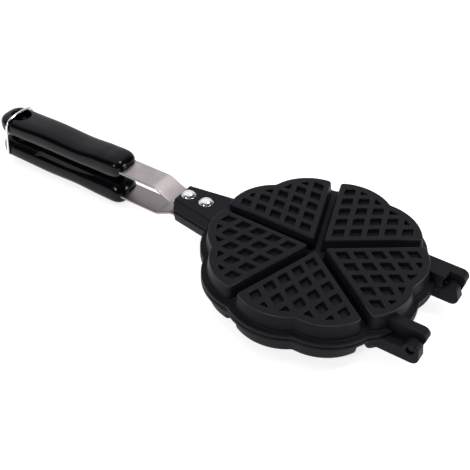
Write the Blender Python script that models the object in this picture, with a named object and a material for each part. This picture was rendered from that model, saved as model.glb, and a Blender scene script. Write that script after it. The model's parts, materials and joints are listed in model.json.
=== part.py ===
"""Hand-held heart waffle pan, in metres, +Z up, +X towards the hinge.

Two halves from one mould close on each other at the parting plane. The lower
half is the upper one turned half round about the long axis, so that each lug
meets the lug beside it from the other half. A steel strap is riveted under the
tongue of each plate and carries a moulded handle. A wire bail in the lower
handle swings up over the tail of the upper one and locks the pan shut.

Shapes are drawn about the middle of the pan, with the parting plane at zero.
The origin of the whole object is under its middle, on the surface it lies on.
"""
import math

import bmesh
import bpy
from mathutils import Vector

# Fits and cuts
FIT = 0.0003                    # gap between pieces that touch
PARTING_GAP = 0.0003            # gap between the two halves
OVERRUN = 0.002                 # how far a cutter runs past the face it cuts

# The pan's five hearts, seen from above
HEARTS = 5
LOBE_CENTRE_RADIUS = 0.0393     # middle of the pan to the middle of a lobe
LOBE_SPREAD = math.radians(19)  # between a heart's axis and its lobe
LOBE_RADIUS = 0.0355
GROOVE_WIDTH = 0.0070
TIP_ROUND = 0.0016
CORNER_ROUND = 0.0028
NOTCH_ROUND = 0.0040

# The casting, from the parting plane up
PLATE_HEIGHT = 0.01475
EDGE_ROUND = 0.0012
WALL_DRAFT = 0.0016             # how far the foot of a wall stands out
WALL = 0.0024
CEILING = 0.0030
GROOVE_FLOOR = 0.0045
RIDGE_CREST = 0.0020            # clearance over the ridges between hearts
FLANGE_THICKNESS = 0.0033
FLANGE_REACH = 0.0050           # flange beyond the lobes
FLANGE_NOTCH_ROUND = 0.0060

# Pits outside, pegs inside, in rows along the two straight edges of a heart
ROW_COUNT = 5
PIT_PITCH_SHARE = 0.159         # pit to pit, of the reach of the lobes
FIRST_PIT_SHARE = 0.259         # middle of the pan to the first pit, of the same reach
PIT_SIDE_SHARE = 0.664          # a pit's side, of the pitch
PIT_DRAFT = 0.0007
PIT_DEPTH = 0.0036
PIT_MARGIN = 0.0028             # land kept between a pit and the lobe's edge
PEG_WALL = 0.0011               # metal round a pit, inside its peg
PEG_DRAFT = 0.0009
PEG_DEPTH = 0.0052

# Tongue towards the handle
TONGUE_REACH = 0.0358           # tongue beyond the lobes
TONGUE_OVERLAP = 0.0058         # and inside them
TONGUE_HEIGHT = 0.0099
TONGUE_END_WIDTH = 0.0194
TONGUE_ROOT_WIDTH = 0.0325
TONGUE_DRAFT = 0.0023           # each side, down to the parting plane
TONGUE_EDGE = 0.0010
TONGUE_ROOF = 0.0034
TONGUE_SIDE = 0.0027
CHANNEL_DEPTH = 0.0296          # from the tongue's end

# Hinge lugs and pins
HINGE_REACH = 0.0125            # hinge axis beyond the lobes
PIN_RADIUS = 0.0025
PIN_RECESS = 0.0008             # pin end below the lug's face
KNUCKLE_RADIUS = 0.0048
NOTCH_GAP = 0.0005              # between a knuckle and the root it turns by
LUG_HEIGHT = 0.0099
LUG_END_ROUND = 0.0042
LUG_INNER = 0.0236              # the lug's inner face from the long axis
LUG_SPLIT = 0.0312              # between the two arms of a lug
LUG_OUTER = 0.0391
ARM_GAP = 0.0005
OUTER_ARM_INSET = 0.0133        # root of the outer arm inside the lobes' reach
INNER_ARM_INSET = 0.0088

# Rivets
RIVET_PITCH = 0.0151
REAR_RIVET_INSET = 0.0058       # from the tongue's end
RIVET_HEAD_RADIUS = 0.0053
RIVET_HEAD_HEIGHT = 0.0028
RIVET_SHANK_RADIUS = 0.0024
RIVET_TAIL_RADIUS = 0.0038
RIVET_TAIL_HEIGHT = 0.0014

# Strap
STRAP_THICKNESS = 0.0020
STRAP_WIDTH = 0.0192
TANG_WIDTH = 0.0150
TANG_INSET = 0.0025             # tang end from the end of its channel
STRAP_CRANK_RUN = 0.0150        # length of the sloped stretch
STRAP_BEND = 0.0060
STRAP_RISE = 0.0112             # parting plane to the strap's middle, in the handle
STRAP_IN_HANDLE = 0.0530

# Handle
HANDLE_GAP = 0.0475             # tongue's end to the handle's nose
HANDLE_LENGTH = 0.1242
HANDLE_WIDTH = 0.0272
HANDLE_THICKNESS = 0.0216
HANDLE_SQUARENESS = 2.7         # power of the rounded section
NOSE_LENGTH = 0.0110            # rounding of the nose, from above
NOSE_DEPTH = 0.0150             # and from the side
NOSE_POWER = 3.0                # how square the nose is from above
TAIL_LENGTH = 0.0130
TAIL_DEPTH = 0.0105
END_POWER = 2.2
SCREW_SPACING = 0.0230
FRONT_SCREW_INSET = 0.0210      # from the nose
SCREW_RADIUS = 0.0020
SCREW_HEAD_RADIUS = 0.0037
SCREW_HEAD_HEIGHT = 0.0026
SCREW_SINK = 0.0010             # head below the handle's inner face
SCREW_DEPTH = 0.0145            # tip from the parting plane
HOLE_RADIUS = 0.0076            # hanging hole
HOLE_INSET = 0.0169             # its middle from the tail's end

# Bail
BAIL_WIRE_RADIUS = 0.0009
BAIL_INSET = 0.0118             # from the tail's end
BAIL_PIVOT_COVER = 0.0046       # its holes from the handle's outer face
BAIL_HOLE_DEPTH = 0.0050
BAIL_SIDE_GAP = 0.0005
BAIL_TOP_GAP = 0.0003
BAIL_CORNER = 0.0055
BAIL_FOOT_CORNER = 0.0020

# Counts of steps round the curves
TIP_STEPS = 2
CORNER_STEPS = 3
LOBE_STEPS = 7
NOTCH_STEPS = 2
ROSETTE_STEPS = 6
ROUND_SIDES = 16
SECTION_SIDES = 24
WIRE_SIDES = 8
DOME_STEPS = 4
END_STATIONS = 6
MIDDLE_STATIONS = 9
FIRST_STATION_SHARE = 0.35      # where the first station stands, of the step between two
SHARP_ANGLE = math.radians(35)
FLAT_ANGLE = math.radians(0.1)
DIGITS = 9

HALF_GAP = PARTING_GAP / 2
HALF_SHARE = math.pi / HEARTS
LOBE_REACH = LOBE_CENTRE_RADIUS + LOBE_RADIUS
PIT_PITCH = PIT_PITCH_SHARE * LOBE_REACH
FIRST_PIT_RADIUS = FIRST_PIT_SHARE * LOBE_REACH
PIT_SIDE = PIT_SIDE_SHARE * PIT_PITCH
PIN_X = LOBE_REACH + HINGE_REACH
OUTER_ARM_ROOT = LOBE_REACH - OUTER_ARM_INSET
INNER_ARM_ROOT = LOBE_REACH - INNER_ARM_INSET
TONGUE_END = LOBE_REACH + TONGUE_REACH
TONGUE_ROOT = LOBE_REACH - TONGUE_OVERLAP
CHANNEL_END = TONGUE_END - CHANNEL_DEPTH
HANDLE_NOSE = TONGUE_END + HANDLE_GAP
HANDLE_TAIL = HANDLE_NOSE + HANDLE_LENGTH
HINGE_END = PIN_X + KNUCKLE_RADIUS
CENTRE_SHIFT = (HANDLE_TAIL - HINGE_END) / 2
NOTCH_X = PIN_X - KNUCKLE_RADIUS - NOTCH_GAP
REAR_RIVET_X = REAR_RIVET_INSET - TONGUE_END
FRONT_RIVET_X = REAR_RIVET_X + RIVET_PITCH
CHANNEL_HEIGHT = TONGUE_HEIGHT - TONGUE_ROOF
TANG_MIDDLE = CHANNEL_HEIGHT - FIT - STRAP_THICKNESS / 2
HOLE_X = -(HANDLE_TAIL - HOLE_INSET)
BAIL_X = -(HANDLE_TAIL - BAIL_INSET)

# The handle along its length, from nose to tail: place, width and thickness as shares
HANDLE_PLACE_SHARES = (0.0, 0.16, 0.36, 0.60, 0.85, 1.0)
HANDLE_WIDTH_SHARES = (0.87, 0.90, 0.935, 0.96, 1.0, 0.965)
HANDLE_THICKNESS_SHARES = (1.0, 0.935, 0.852, 0.93, 0.84, 0.83)


def clear_scene():
    """Removes whatever the file held."""
    for item in list(bpy.data.objects):
        bpy.data.objects.remove(item, do_unlink=True)


def finish(name, colour, metallic, roughness):
    """A plain material for one piece."""
    material = bpy.data.materials.new(name)
    material.use_nodes = True
    shader = material.node_tree.nodes["Principled BSDF"]
    shader.inputs["Base Color"].default_value = (*colour, 1.0)
    shader.inputs["Metallic"].default_value = metallic
    shader.inputs["Roughness"].default_value = roughness
    material.diffuse_color = (*colour, 1.0)
    return material


def arc(centre, radius, start, end, steps):
    """Points on an arc from one angle to another, both ends included."""
    points = []
    for step in range(steps + 1):
        angle = start + (end - start) * step / steps
        points.append(Vector((centre[0] + radius * math.cos(angle), centre[1] + radius * math.sin(angle))))
    return points


def angle_of(vector):
    """Direction of a flat vector."""
    return math.atan2(vector.y, vector.x)


def turned(points, angle):
    """Flat points turned about the middle of the pan."""
    cosine, sine = math.cos(angle), math.sin(angle)
    return [Vector((p.x * cosine - p.y * sine, p.x * sine + p.y * cosine)) for p in points]


def mesh_from(build):
    """A mesh from a bmesh, with its faces pointing out."""
    bmesh.ops.recalc_face_normals(build, faces=build.faces)
    mesh = bpy.data.meshes.new("shape")
    build.to_mesh(mesh)
    build.free()
    return mesh


def add_loft(build, loops, closed=False):
    """Joins loops of equally many points into one closed body."""
    rings = [[build.verts.new(point) for point in loop] for loop in loops]
    count = len(rings[0])
    pairs = list(zip(rings, rings[1:]))
    if closed:
        pairs.append((rings[-1], rings[0]))
    for low, high in pairs:
        for k in range(count):
            build.faces.new((low[k], low[(k + 1) % count], high[(k + 1) % count], high[k]))
    if not closed:
        build.faces.new(list(reversed(rings[0])))
        build.faces.new(rings[-1])


def loft(loops, closed=False):
    """One body from a row of loops."""
    build = bmesh.new()
    add_loft(build, loops, closed)
    return mesh_from(build)


def lifted(outline, height):
    """Flat points at a height."""
    return [Vector((p.x, p.y, height)) for p in outline]


def piece(name, mesh, material=None):
    """An object with the given mesh."""
    item = bpy.data.objects.new(name, mesh)
    bpy.context.scene.collection.objects.link(item)
    if material:
        mesh.materials.clear()
        mesh.materials.append(material)
    return item


def carve(mesh, steps):
    """The mesh after a row of unions and cuts, each given as an operation and a mesh."""
    body = piece("body", mesh)
    tools = []
    for operation, shape in steps:
        tool = piece("tool", shape)
        tool.hide_render = True
        tool.display_type = "WIRE"
        tools.append(tool)
        step = body.modifiers.new(operation, "BOOLEAN")
        step.operation = operation
        step.solver = "EXACT"
        step.object = tool
    bpy.context.view_layer.update()
    evaluated = body.evaluated_get(bpy.context.evaluated_depsgraph_get())
    result = bpy.data.meshes.new_from_object(evaluated)
    for item in (body, *tools):
        bpy.data.objects.remove(item, do_unlink=True)
    tidy = bmesh.new()
    tidy.from_mesh(result)
    bmesh.ops.dissolve_limit(tidy, angle_limit=FLAT_ANGLE, verts=tidy.verts, edges=tidy.edges)
    bmesh.ops.triangulate(tidy, faces=tidy.faces)
    tidy.to_mesh(result)
    tidy.free()
    return result


def shade_round(mesh):
    """Smooth shading, broken at real edges."""
    mesh.shade_smooth()
    mesh.set_sharp_from_angle(angle=SHARP_ANGLE)
    return mesh


def box(low, high):
    """A box between two corners."""
    loop = [Vector((low[0], low[1])), Vector((high[0], low[1])), Vector((high[0], high[1])), Vector((low[0], high[1]))]
    return loft([lifted(loop, low[2]), lifted(loop, high[2])])


def turned_profile(profile, sides=ROUND_SIDES):
    """A closed body from radius and height pairs, top to bottom, about +Z."""
    build = bmesh.new()
    rings = []
    for radius, height in profile:
        if radius == 0:
            rings.append([build.verts.new((0, 0, height))])
            continue
        ring = []
        for side in range(sides):
            angle = math.tau * side / sides
            ring.append(build.verts.new((radius * math.cos(angle), radius * math.sin(angle), height)))
        rings.append(ring)
    for upper, lower in zip(rings, rings[1:]):
        for side in range(sides):
            after = (side + 1) % sides
            corners = [upper[side % len(upper)], lower[side % len(lower)], lower[after % len(lower)],
                       upper[after % len(upper)]]
            build.faces.new(list(dict.fromkeys(corners)))
    return mesh_from(build)


def rod_along_y(radius, low, high, x, z=0.0, sides=ROUND_SIDES):
    """A round rod across the pan."""
    ring = arc((x, z), radius, 0, math.tau, sides)[:-1]
    return loft([[Vector((p.x, y, p.y)) for p in ring] for y in (low, high)])


def rod_along_z(radius, low, high, x, y=0.0, sides=ROUND_SIDES):
    """An upright round rod."""
    ring = arc((x, y), radius, 0, math.tau, sides)[:-1]
    return loft([lifted(ring, low), lifted(ring, high)])


# Outlines of the hearts and of the ring of lobes

def heart_outline(groove, lobe, tip, corner, notch, offset=0.0):
    """One heart about +X, its tip towards the middle of the pan, grown by an offset."""
    along = Vector((math.cos(HALF_SHARE), math.sin(HALF_SHARE)))
    inward = Vector((math.sin(HALF_SHARE), -math.cos(HALF_SHARE)))
    lobe_centre = LOBE_CENTRE_RADIUS * Vector((math.cos(LOBE_SPREAD), math.sin(LOBE_SPREAD)))
    tip_centre = Vector(((groove / 2 + tip) / math.sin(HALF_SHARE), 0))
    foot = inward * (groove / 2 + corner)
    reach = (foot - lobe_centre).dot(along)
    spare = (foot - lobe_centre).length_squared - (lobe - corner) ** 2
    corner_centre = foot + along * (math.sqrt(reach ** 2 - spare) - reach)
    notch_run = math.sqrt((lobe + notch) ** 2 - lobe_centre.y ** 2)
    notch_centre = Vector((lobe_centre.x + notch_run, 0))
    edge_angle = HALF_SHARE + math.pi / 2
    corner_angle = angle_of(corner_centre - lobe_centre)
    lobe_end = angle_of(notch_centre - lobe_centre)
    upper = arc(tip_centre, tip + offset, math.pi, edge_angle, TIP_STEPS)
    upper += arc(corner_centre, corner + offset, edge_angle, corner_angle, CORNER_STEPS)
    upper += arc(lobe_centre, lobe + offset, corner_angle, lobe_end, LOBE_STEPS)[1:]
    upper += arc(notch_centre, notch - offset, lobe_end + math.pi, math.pi, NOTCH_STEPS)[1:]
    lower = [Vector((p.x, -p.y)) for p in upper[1:-1]]
    return list(reversed(upper + list(reversed(lower))))


def rosette_outline(lobe, notch, offset=0.0):
    """All ten lobes in one ring, with rounded notches between them."""
    gaps = (LOBE_SPREAD, HALF_SHARE - LOBE_SPREAD)
    points = []
    for heart in range(HEARTS):
        for side, before, after in ((-1, gaps[1], gaps[0]), (1, gaps[0], gaps[1])):
            middle = 2 * HALF_SHARE * heart + side * LOBE_SPREAD
            centre = Vector((LOBE_CENTRE_RADIUS, 0))
            ends = []
            for gap in (-before, after):
                rise = LOBE_CENTRE_RADIUS * math.sin(abs(gap))
                out = LOBE_CENTRE_RADIUS * math.cos(gap) + math.sqrt((lobe + notch) ** 2 - rise ** 2)
                ends.append(Vector((out * math.cos(gap), out * math.sin(gap))))
            start, end = (angle_of(point - centre) for point in ends)
            stretch = arc(centre, lobe + offset, start, end, ROSETTE_STEPS)
            turn_in = math.pi + after
            stretch += arc(ends[1], notch - offset, end + math.pi, turn_in, NOTCH_STEPS)[1:]
            turn_out = 2 * turn_in - (end + math.pi)
            stretch += arc(ends[1], notch - offset, turn_in, turn_out, NOTCH_STEPS)[1:-1]
            points += turned(stretch, middle)
    return points


def outer_heart(offset):
    """A heart's outer wall."""
    return heart_outline(GROOVE_WIDTH, LOBE_RADIUS, TIP_ROUND, CORNER_ROUND, NOTCH_ROUND, offset)


def inner_heart(offset):
    """A heart's cavity, one wall inside."""
    return heart_outline(GROOVE_WIDTH + 2 * WALL, LOBE_RADIUS - WALL, TIP_ROUND, CORNER_ROUND,
                         NOTCH_ROUND + WALL, offset)


def around_pan(outline_levels):
    """The same lofted body once for each heart."""
    build = bmesh.new()
    for heart in range(HEARTS):
        angle = 2 * HALF_SHARE * heart
        add_loft(build, [lifted(turned(outline, angle), height) for outline, height in outline_levels])
    return mesh_from(build)


# Pits and pegs

def rhombus(centre, side):
    """A pit's mouth, its sides along the two straight edges of the heart."""
    up = Vector((math.cos(HALF_SHARE), math.sin(HALF_SHARE))) * side / 2
    down = Vector((up.x, -up.y))
    return [centre - up - down, centre + down - up, centre + up + down, centre + up - down]


def clipped(polygon, middle, radius):
    """A convex polygon cut off where it leaves a circle."""
    points = []
    for k, here in enumerate(polygon):
        after = polygon[(k + 1) % len(polygon)]
        inside, next_inside = ((p - middle).length < radius for p in (here, after))
        if inside:
            points.append(here)
        if inside == next_inside:
            continue
        span = after - here
        half_b = (here - middle).dot(span)
        root = math.sqrt(half_b ** 2 - span.length_squared * ((here - middle).length_squared - radius ** 2))
        share = (-half_b + (root if inside else -root)) / span.length_squared
        points.append(here + span * share)
    return points


def pit_places():
    """Each pit's centre in its heart, and whether the lobe's edge cuts it."""
    across = PIT_PITCH * math.sin(HALF_SHARE)
    along = PIT_PITCH * math.cos(HALF_SHARE)
    for i in range(ROW_COUNT + 1):
        for j in range(ROW_COUNT + 1):
            cut = i + j == ROW_COUNT
            if i + j < ROW_COUNT or (cut and i and j):
                yield Vector((FIRST_PIT_RADIUS + (i + j) * along, (i - j) * across)), cut


def pit_bodies(side, draft, top, bottom, lobe_radius):
    """Tapered rhombic bodies at every pit: side at the top, narrower by the draft at the bottom."""
    build = bmesh.new()
    for place, cut in pit_places():
        mouth = rhombus(place, side)
        if cut:
            level = 1 if place.y > 0 else -1
            lobe = LOBE_CENTRE_RADIUS * Vector((math.cos(LOBE_SPREAD), level * math.sin(LOBE_SPREAD)))
            mouth = clipped(mouth, lobe, lobe_radius)
        middle = sum(mouth, Vector((0, 0))) / len(mouth)
        size = max((p - middle).length for p in mouth)
        shrink = 1 - draft / (size * math.sin(HALF_SHARE))
        floor = [middle + (p - middle) * shrink for p in mouth]
        for heart in range(HEARTS):
            angle = 2 * HALF_SHARE * heart
            add_loft(build, [lifted(turned(floor, angle), bottom), lifted(turned(mouth, angle), top)])
    return mesh_from(build)


# The casting

def lug_profile(root):
    """A lug's arm from the side: flat top, round end, knuckle round the pin."""
    start = math.pi - math.asin(HALF_GAP / KNUCKLE_RADIUS)
    end = HINGE_END - LUG_END_ROUND
    points = [Vector((root, -OVERRUN)), Vector((NOTCH_X, -OVERRUN)), Vector((NOTCH_X, HALF_GAP))]
    points += arc((PIN_X, 0), KNUCKLE_RADIUS, start, math.tau, ROUND_SIDES // 2)
    points += arc((end, LUG_HEIGHT - LUG_END_ROUND), LUG_END_ROUND, 0, math.pi / 2, CORNER_STEPS)
    points.append(Vector((root, LUG_HEIGHT)))
    return points


def across(profile, low, high):
    """A side profile run from one y to another."""
    return loft([[Vector((p.x, y, p.y)) for p in profile] for y in (low, high)])


def tongue_section(x, width, height, draft, edge, low):
    """A cross-section of the tongue, wider at the parting plane."""
    half = width / 2
    lean = draft / TONGUE_HEIGHT
    foot = half + lean * (TONGUE_HEIGHT - low)
    top = half + lean * (TONGUE_HEIGHT - height)
    shoulder = top + lean * edge
    corners = [(-foot, low), (foot, low), (shoulder, height - edge), (top - edge, height),
               (edge - top, height), (-shoulder, height - edge)]
    return [Vector((x, y, z)) for y, z in corners]


def tongue_width(x):
    """Width over the top of the tongue at a distance from the middle of the pan."""
    share = (x - TONGUE_ROOT) / (TONGUE_END - TONGUE_ROOT)
    return TONGUE_ROOT_WIDTH + (TONGUE_END_WIDTH - TONGUE_ROOT_WIDTH) * share


def plate_mesh():
    """One cast plate, upper way up."""
    flange = LOBE_RADIUS + FLANGE_REACH
    rim = rosette_outline(flange, FLANGE_NOTCH_ROUND)
    body = loft([lifted(rim, -OVERRUN), lifted(rim, FLANGE_THICKNESS)])
    foot = rosette_outline(LOBE_RADIUS, NOTCH_ROUND, WALL_DRAFT)
    web = loft([lifted(foot, 0), lifted(foot, GROOVE_FLOOR)])
    bevel = EDGE_ROUND * math.sin(math.pi / 4)
    hearts = around_pan([
        (outer_heart(WALL_DRAFT), FLANGE_THICKNESS / 2),
        (outer_heart(0.0), PLATE_HEIGHT - EDGE_ROUND),
        (outer_heart(bevel - EDGE_ROUND), PLATE_HEIGHT - EDGE_ROUND + bevel),
        (outer_heart(-EDGE_ROUND), PLATE_HEIGHT)])
    tongue = loft([tongue_section(-x, tongue_width(x), TONGUE_HEIGHT, TONGUE_DRAFT, TONGUE_EDGE, -OVERRUN)
                   for x in (TONGUE_END, TONGUE_ROOT)])
    lug_root = box((OUTER_ARM_ROOT, LUG_INNER, -OVERRUN), (NOTCH_X, LUG_OUTER, LUG_HEIGHT))
    under = box((-TONGUE_END - OVERRUN, -LOBE_CENTRE_RADIUS - flange, -2 * OVERRUN),
                (NOTCH_X, LOBE_CENTRE_RADIUS + flange, HALF_GAP))
    outer_arm = across(lug_profile(OUTER_ARM_ROOT), LUG_SPLIT + ARM_GAP / 2, LUG_OUTER)
    inner_arm = across(lug_profile(INNER_ARM_ROOT), ARM_GAP / 2 - LUG_SPLIT, -LUG_INNER)
    pits = pit_bodies(PIT_SIDE, PIT_DRAFT, PLATE_HEIGHT + FIT, PLATE_HEIGHT - PIT_DEPTH,
                      LOBE_RADIUS - PIT_MARGIN)
    steps = [("UNION", web), ("UNION", hearts), ("UNION", tongue), ("UNION", lug_root), ("UNION", outer_arm),
             ("UNION", inner_arm), ("DIFFERENCE", under), ("DIFFERENCE", cavity_mesh()), ("DIFFERENCE", pits),
             ("DIFFERENCE", channel_mesh())]
    for x in (FRONT_RIVET_X, REAR_RIVET_X):
        hole = rod_along_z(RIVET_SHANK_RADIUS + FIT, 0, TONGUE_HEIGHT + OVERRUN, x)
        steps.append(("DIFFERENCE", hole))
    for side in (-1, 1):
        low, high = sorted((side * (LUG_INNER - OVERRUN), side * (LUG_OUTER + OVERRUN)))
        steps.append(("DIFFERENCE", rod_along_y(PIN_RADIUS + FIT, low, high, PIN_X)))
    return shade_round(carve(body, steps))


def cavity_mesh():
    """The batter space: five hearts joined over the ridges, less the pegs."""
    inner_ring = rosette_outline(LOBE_RADIUS - WALL, NOTCH_ROUND + WALL, WALL_DRAFT)
    shallow = loft([lifted(inner_ring, -OVERRUN), lifted(inner_ring, RIDGE_CREST)])
    ceiling = PLATE_HEIGHT - CEILING
    hearts = around_pan([(inner_heart(WALL_DRAFT), 0), (inner_heart(0.0), ceiling)])
    base = PIT_SIDE - 2 * PIT_DRAFT + 2 * PEG_WALL
    pegs = pit_bodies(base, PEG_DRAFT, ceiling + OVERRUN / 2, ceiling - PEG_DEPTH, LOBE_RADIUS + PEG_DRAFT)
    return carve(shallow, [("UNION", hearts), ("DIFFERENCE", pegs)])


def channel_mesh():
    """The hollow under the tongue that takes the strap."""
    sections = []
    for x in (TONGUE_END + OVERRUN, CHANNEL_END):
        width = tongue_width(x) - 2 * TONGUE_SIDE + TONGUE_DRAFT
        sections.append(tongue_section(-x, width, CHANNEL_HEIGHT, TONGUE_DRAFT, TONGUE_EDGE / 2, -OVERRUN))
    return loft(sections)


# Straps, rivets and pins

def strap_path():
    """Middle line of the strap from the tang's end to its end in the handle, as x and z."""
    crank = -(TONGUE_END + STRAP_BEND / 2)
    slope = math.atan2(STRAP_RISE - TANG_MIDDLE, STRAP_CRANK_RUN)
    low = (crank, TANG_MIDDLE + STRAP_BEND)
    high = (crank - STRAP_CRANK_RUN, STRAP_RISE - STRAP_BEND)
    first = arc(low, STRAP_BEND, -math.pi / 2, -math.pi / 2 - slope, CORNER_STEPS)
    second = arc(high, STRAP_BEND, math.pi / 2 - slope, math.pi / 2, CORNER_STEPS)
    return [Vector((-(CHANNEL_END + TANG_INSET), TANG_MIDDLE))] + first + second + [
        Vector((-(HANDLE_NOSE + STRAP_IN_HANDLE), STRAP_RISE))]


def strap_body(path, thickness, half_widths):
    """A flat bar along a side path."""
    sections = []
    for k, here in enumerate(path):
        before = path[max(k - 1, 0)]
        after = path[min(k + 1, len(path) - 1)]
        run = (after - before).normalized()
        up = Vector((-run.y, run.x)) * thickness / 2
        half = half_widths[k]
        corners = ((-half, up), (half, up), (half, -up), (-half, -up))
        sections.append([Vector((here.x + off.x, y, here.y + off.y)) for y, off in corners])
    return loft(sections)


def strap_mesh():
    """A strap with its narrow tang, rivet holes and screw holes."""
    path = strap_path()
    shoulder = -(TONGUE_END + FIT)
    widths = [STRAP_WIDTH / 2] * len(path)
    path.insert(1, Vector((shoulder + FIT / 2, TANG_MIDDLE)))
    path.insert(2, Vector((shoulder, TANG_MIDDLE)))
    widths = [TANG_WIDTH / 2] * 2 + [STRAP_WIDTH / 2] + widths[1:]
    body = strap_body(path, STRAP_THICKNESS, widths)
    steps = []
    for x in (FRONT_RIVET_X, REAR_RIVET_X):
        steps.append(("DIFFERENCE", rod_along_z(RIVET_SHANK_RADIUS + FIT, 0, TONGUE_HEIGHT, x)))
    for x in screw_places():
        steps.append(("DIFFERENCE", rod_along_z(SCREW_RADIUS + FIT, 0, HANDLE_THICKNESS, x)))
    return shade_round(carve(body, steps))


def rivet_mesh():
    """A domed rivet about its own axis, zero at the tongue's top."""
    dome = (RIVET_HEAD_RADIUS ** 2 + RIVET_HEAD_HEIGHT ** 2) / (2 * RIVET_HEAD_HEIGHT)
    spread = math.asin(RIVET_HEAD_RADIUS / dome)
    seat = FIT
    profile = []
    for step in range(DOME_STEPS + 1):
        angle = spread * step / DOME_STEPS
        profile.append((dome * math.sin(angle), seat + RIVET_HEAD_HEIGHT - dome + dome * math.cos(angle)))
    tail = TANG_MIDDLE - STRAP_THICKNESS / 2 - FIT - TONGUE_HEIGHT
    profile[0] = (0, seat + RIVET_HEAD_HEIGHT)
    profile += [(RIVET_SHANK_RADIUS, seat), (RIVET_SHANK_RADIUS, tail), (RIVET_TAIL_RADIUS, tail),
                (RIVET_TAIL_RADIUS, tail - RIVET_TAIL_HEIGHT / 2),
                (RIVET_SHANK_RADIUS, tail - RIVET_TAIL_HEIGHT), (0, tail - RIVET_TAIL_HEIGHT)]
    return shade_round(turned_profile(profile))


def pin_mesh(side):
    """A hinge pin through both arms of one lug."""
    low, high = sorted((side * (LUG_INNER + FIT), side * (LUG_OUTER - PIN_RECESS)))
    return shade_round(rod_along_y(PIN_RADIUS, low, high, 0))


def screw_places():
    """The two screws of a handle."""
    front = -(HANDLE_NOSE + FRONT_SCREW_INSET)
    return (front, front - SCREW_SPACING)


def screw_mesh():
    """A pan-head screw, head towards the parting plane, zero at that plane."""
    head = HALF_GAP + SCREW_SINK
    seat = head + SCREW_HEAD_HEIGHT
    profile = [(0, SCREW_DEPTH), (SCREW_RADIUS / 2, SCREW_DEPTH), (SCREW_RADIUS, SCREW_DEPTH - SCREW_RADIUS / 2),
               (SCREW_RADIUS, seat), (SCREW_HEAD_RADIUS, seat), (SCREW_HEAD_RADIUS, head + SCREW_HEAD_HEIGHT / 3),
               (SCREW_HEAD_RADIUS * 2 / 3, head), (0, head)]
    return shade_round(turned_profile(profile))


# Handles

def share_at(place, shares):
    """A share along the handle, read smoothly between its stations."""
    for k in range(len(HANDLE_PLACE_SHARES) - 1):
        start, end = HANDLE_PLACE_SHARES[k:k + 2]
        if place <= end:
            step = (place - start) / (end - start)
            step = step * step * (3 - 2 * step)
            return shares[k] + (shares[k + 1] - shares[k]) * step
    return shares[-1]


def end_share(distance, length, power=END_POWER):
    """How far a rounded end has filled out at a distance from its tip."""
    if distance >= length:
        return 1.0
    return (1 - (1 - distance / length) ** power) ** (1 / power)


def handle_stations():
    """Distances from the nose: close together at the ends."""
    quarter = math.pi / 2 / END_STATIONS
    steps = [1 - math.cos((step + FIRST_STATION_SHARE) * quarter) for step in range(END_STATIONS)]
    stations = [NOSE_LENGTH * step for step in steps]
    span = HANDLE_LENGTH - NOSE_LENGTH - TAIL_LENGTH
    for step in range(MIDDLE_STATIONS + 1):
        stations.append(NOSE_LENGTH + span * step / MIDDLE_STATIONS)
    stations += [HANDLE_LENGTH - TAIL_LENGTH * step for step in reversed(steps)]
    return stations


def handle_size(distance):
    """Half width and half thickness of the handle at a distance from its nose."""
    place = distance / HANDLE_LENGTH
    nose = end_share(distance, NOSE_LENGTH, NOSE_POWER)
    tail = end_share(HANDLE_LENGTH - distance, TAIL_LENGTH)
    width = HANDLE_WIDTH / 2 * share_at(place, HANDLE_WIDTH_SHARES) * nose * tail
    rounding = min(end_share(distance, NOSE_DEPTH), end_share(HANDLE_LENGTH - distance, TAIL_DEPTH))
    thickness = HANDLE_THICKNESS / 2 * share_at(place, HANDLE_THICKNESS_SHARES) * rounding
    return width, thickness


def handle_middle(distance):
    """Height of the section's middle: the inner side keeps to the parting plane."""
    place = distance / HANDLE_LENGTH
    return HALF_GAP + HANDLE_THICKNESS / 2 * share_at(place, HANDLE_THICKNESS_SHARES)


def handle_section(distance):
    """A rounded section across the handle."""
    half_width, half_height = handle_size(distance)
    middle = handle_middle(distance)
    power = 2 / HANDLE_SQUARENESS
    points = []
    for side in range(SECTION_SIDES):
        angle = math.tau * side / SECTION_SIDES
        cosine, sine = round(math.cos(angle), DIGITS), round(math.sin(angle), DIGITS)
        y = math.copysign(abs(cosine) ** power, cosine) * half_width
        z = math.copysign(abs(sine) ** power, sine) * half_height
        points.append(Vector((-(HANDLE_NOSE + distance), y, middle + z)))
    return points


def handle_mesh(with_bail_hole):
    """A handle with its strap slot, screw holes and hanging hole."""
    body = loft([handle_section(distance) for distance in handle_stations()])
    slot_half = STRAP_WIDTH / 2 + FIT
    slot_low = STRAP_RISE - STRAP_THICKNESS / 2 - FIT
    slot = box((-(HANDLE_NOSE + STRAP_IN_HANDLE + FIT), -slot_half, slot_low),
               (OVERRUN - HANDLE_NOSE, slot_half, slot_low + STRAP_THICKNESS + 2 * FIT))
    steps = [("DIFFERENCE", slot)]
    for x in screw_places():
        seat = HALF_GAP + SCREW_SINK + SCREW_HEAD_HEIGHT + FIT
        steps.append(("DIFFERENCE", rod_along_z(SCREW_HEAD_RADIUS + FIT, -OVERRUN, seat, x)))
        steps.append(("DIFFERENCE", rod_along_z(SCREW_RADIUS + FIT, seat - FIT, SCREW_DEPTH + FIT, x)))
    steps.append(("DIFFERENCE", rod_along_z(HOLE_RADIUS, -OVERRUN, HANDLE_THICKNESS + OVERRUN, HOLE_X)))
    if with_bail_hole:
        side = handle_size(HANDLE_LENGTH - BAIL_INSET)[0]
        for low, high in ((-side - OVERRUN, BAIL_HOLE_DEPTH - side), (side - BAIL_HOLE_DEPTH, side + OVERRUN)):
            steps.append(("DIFFERENCE", rod_along_y(BAIL_WIRE_RADIUS + FIT, low, high, BAIL_X, bail_pivot())))
    return shade_round(carve(body, steps))


# Bail

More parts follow.
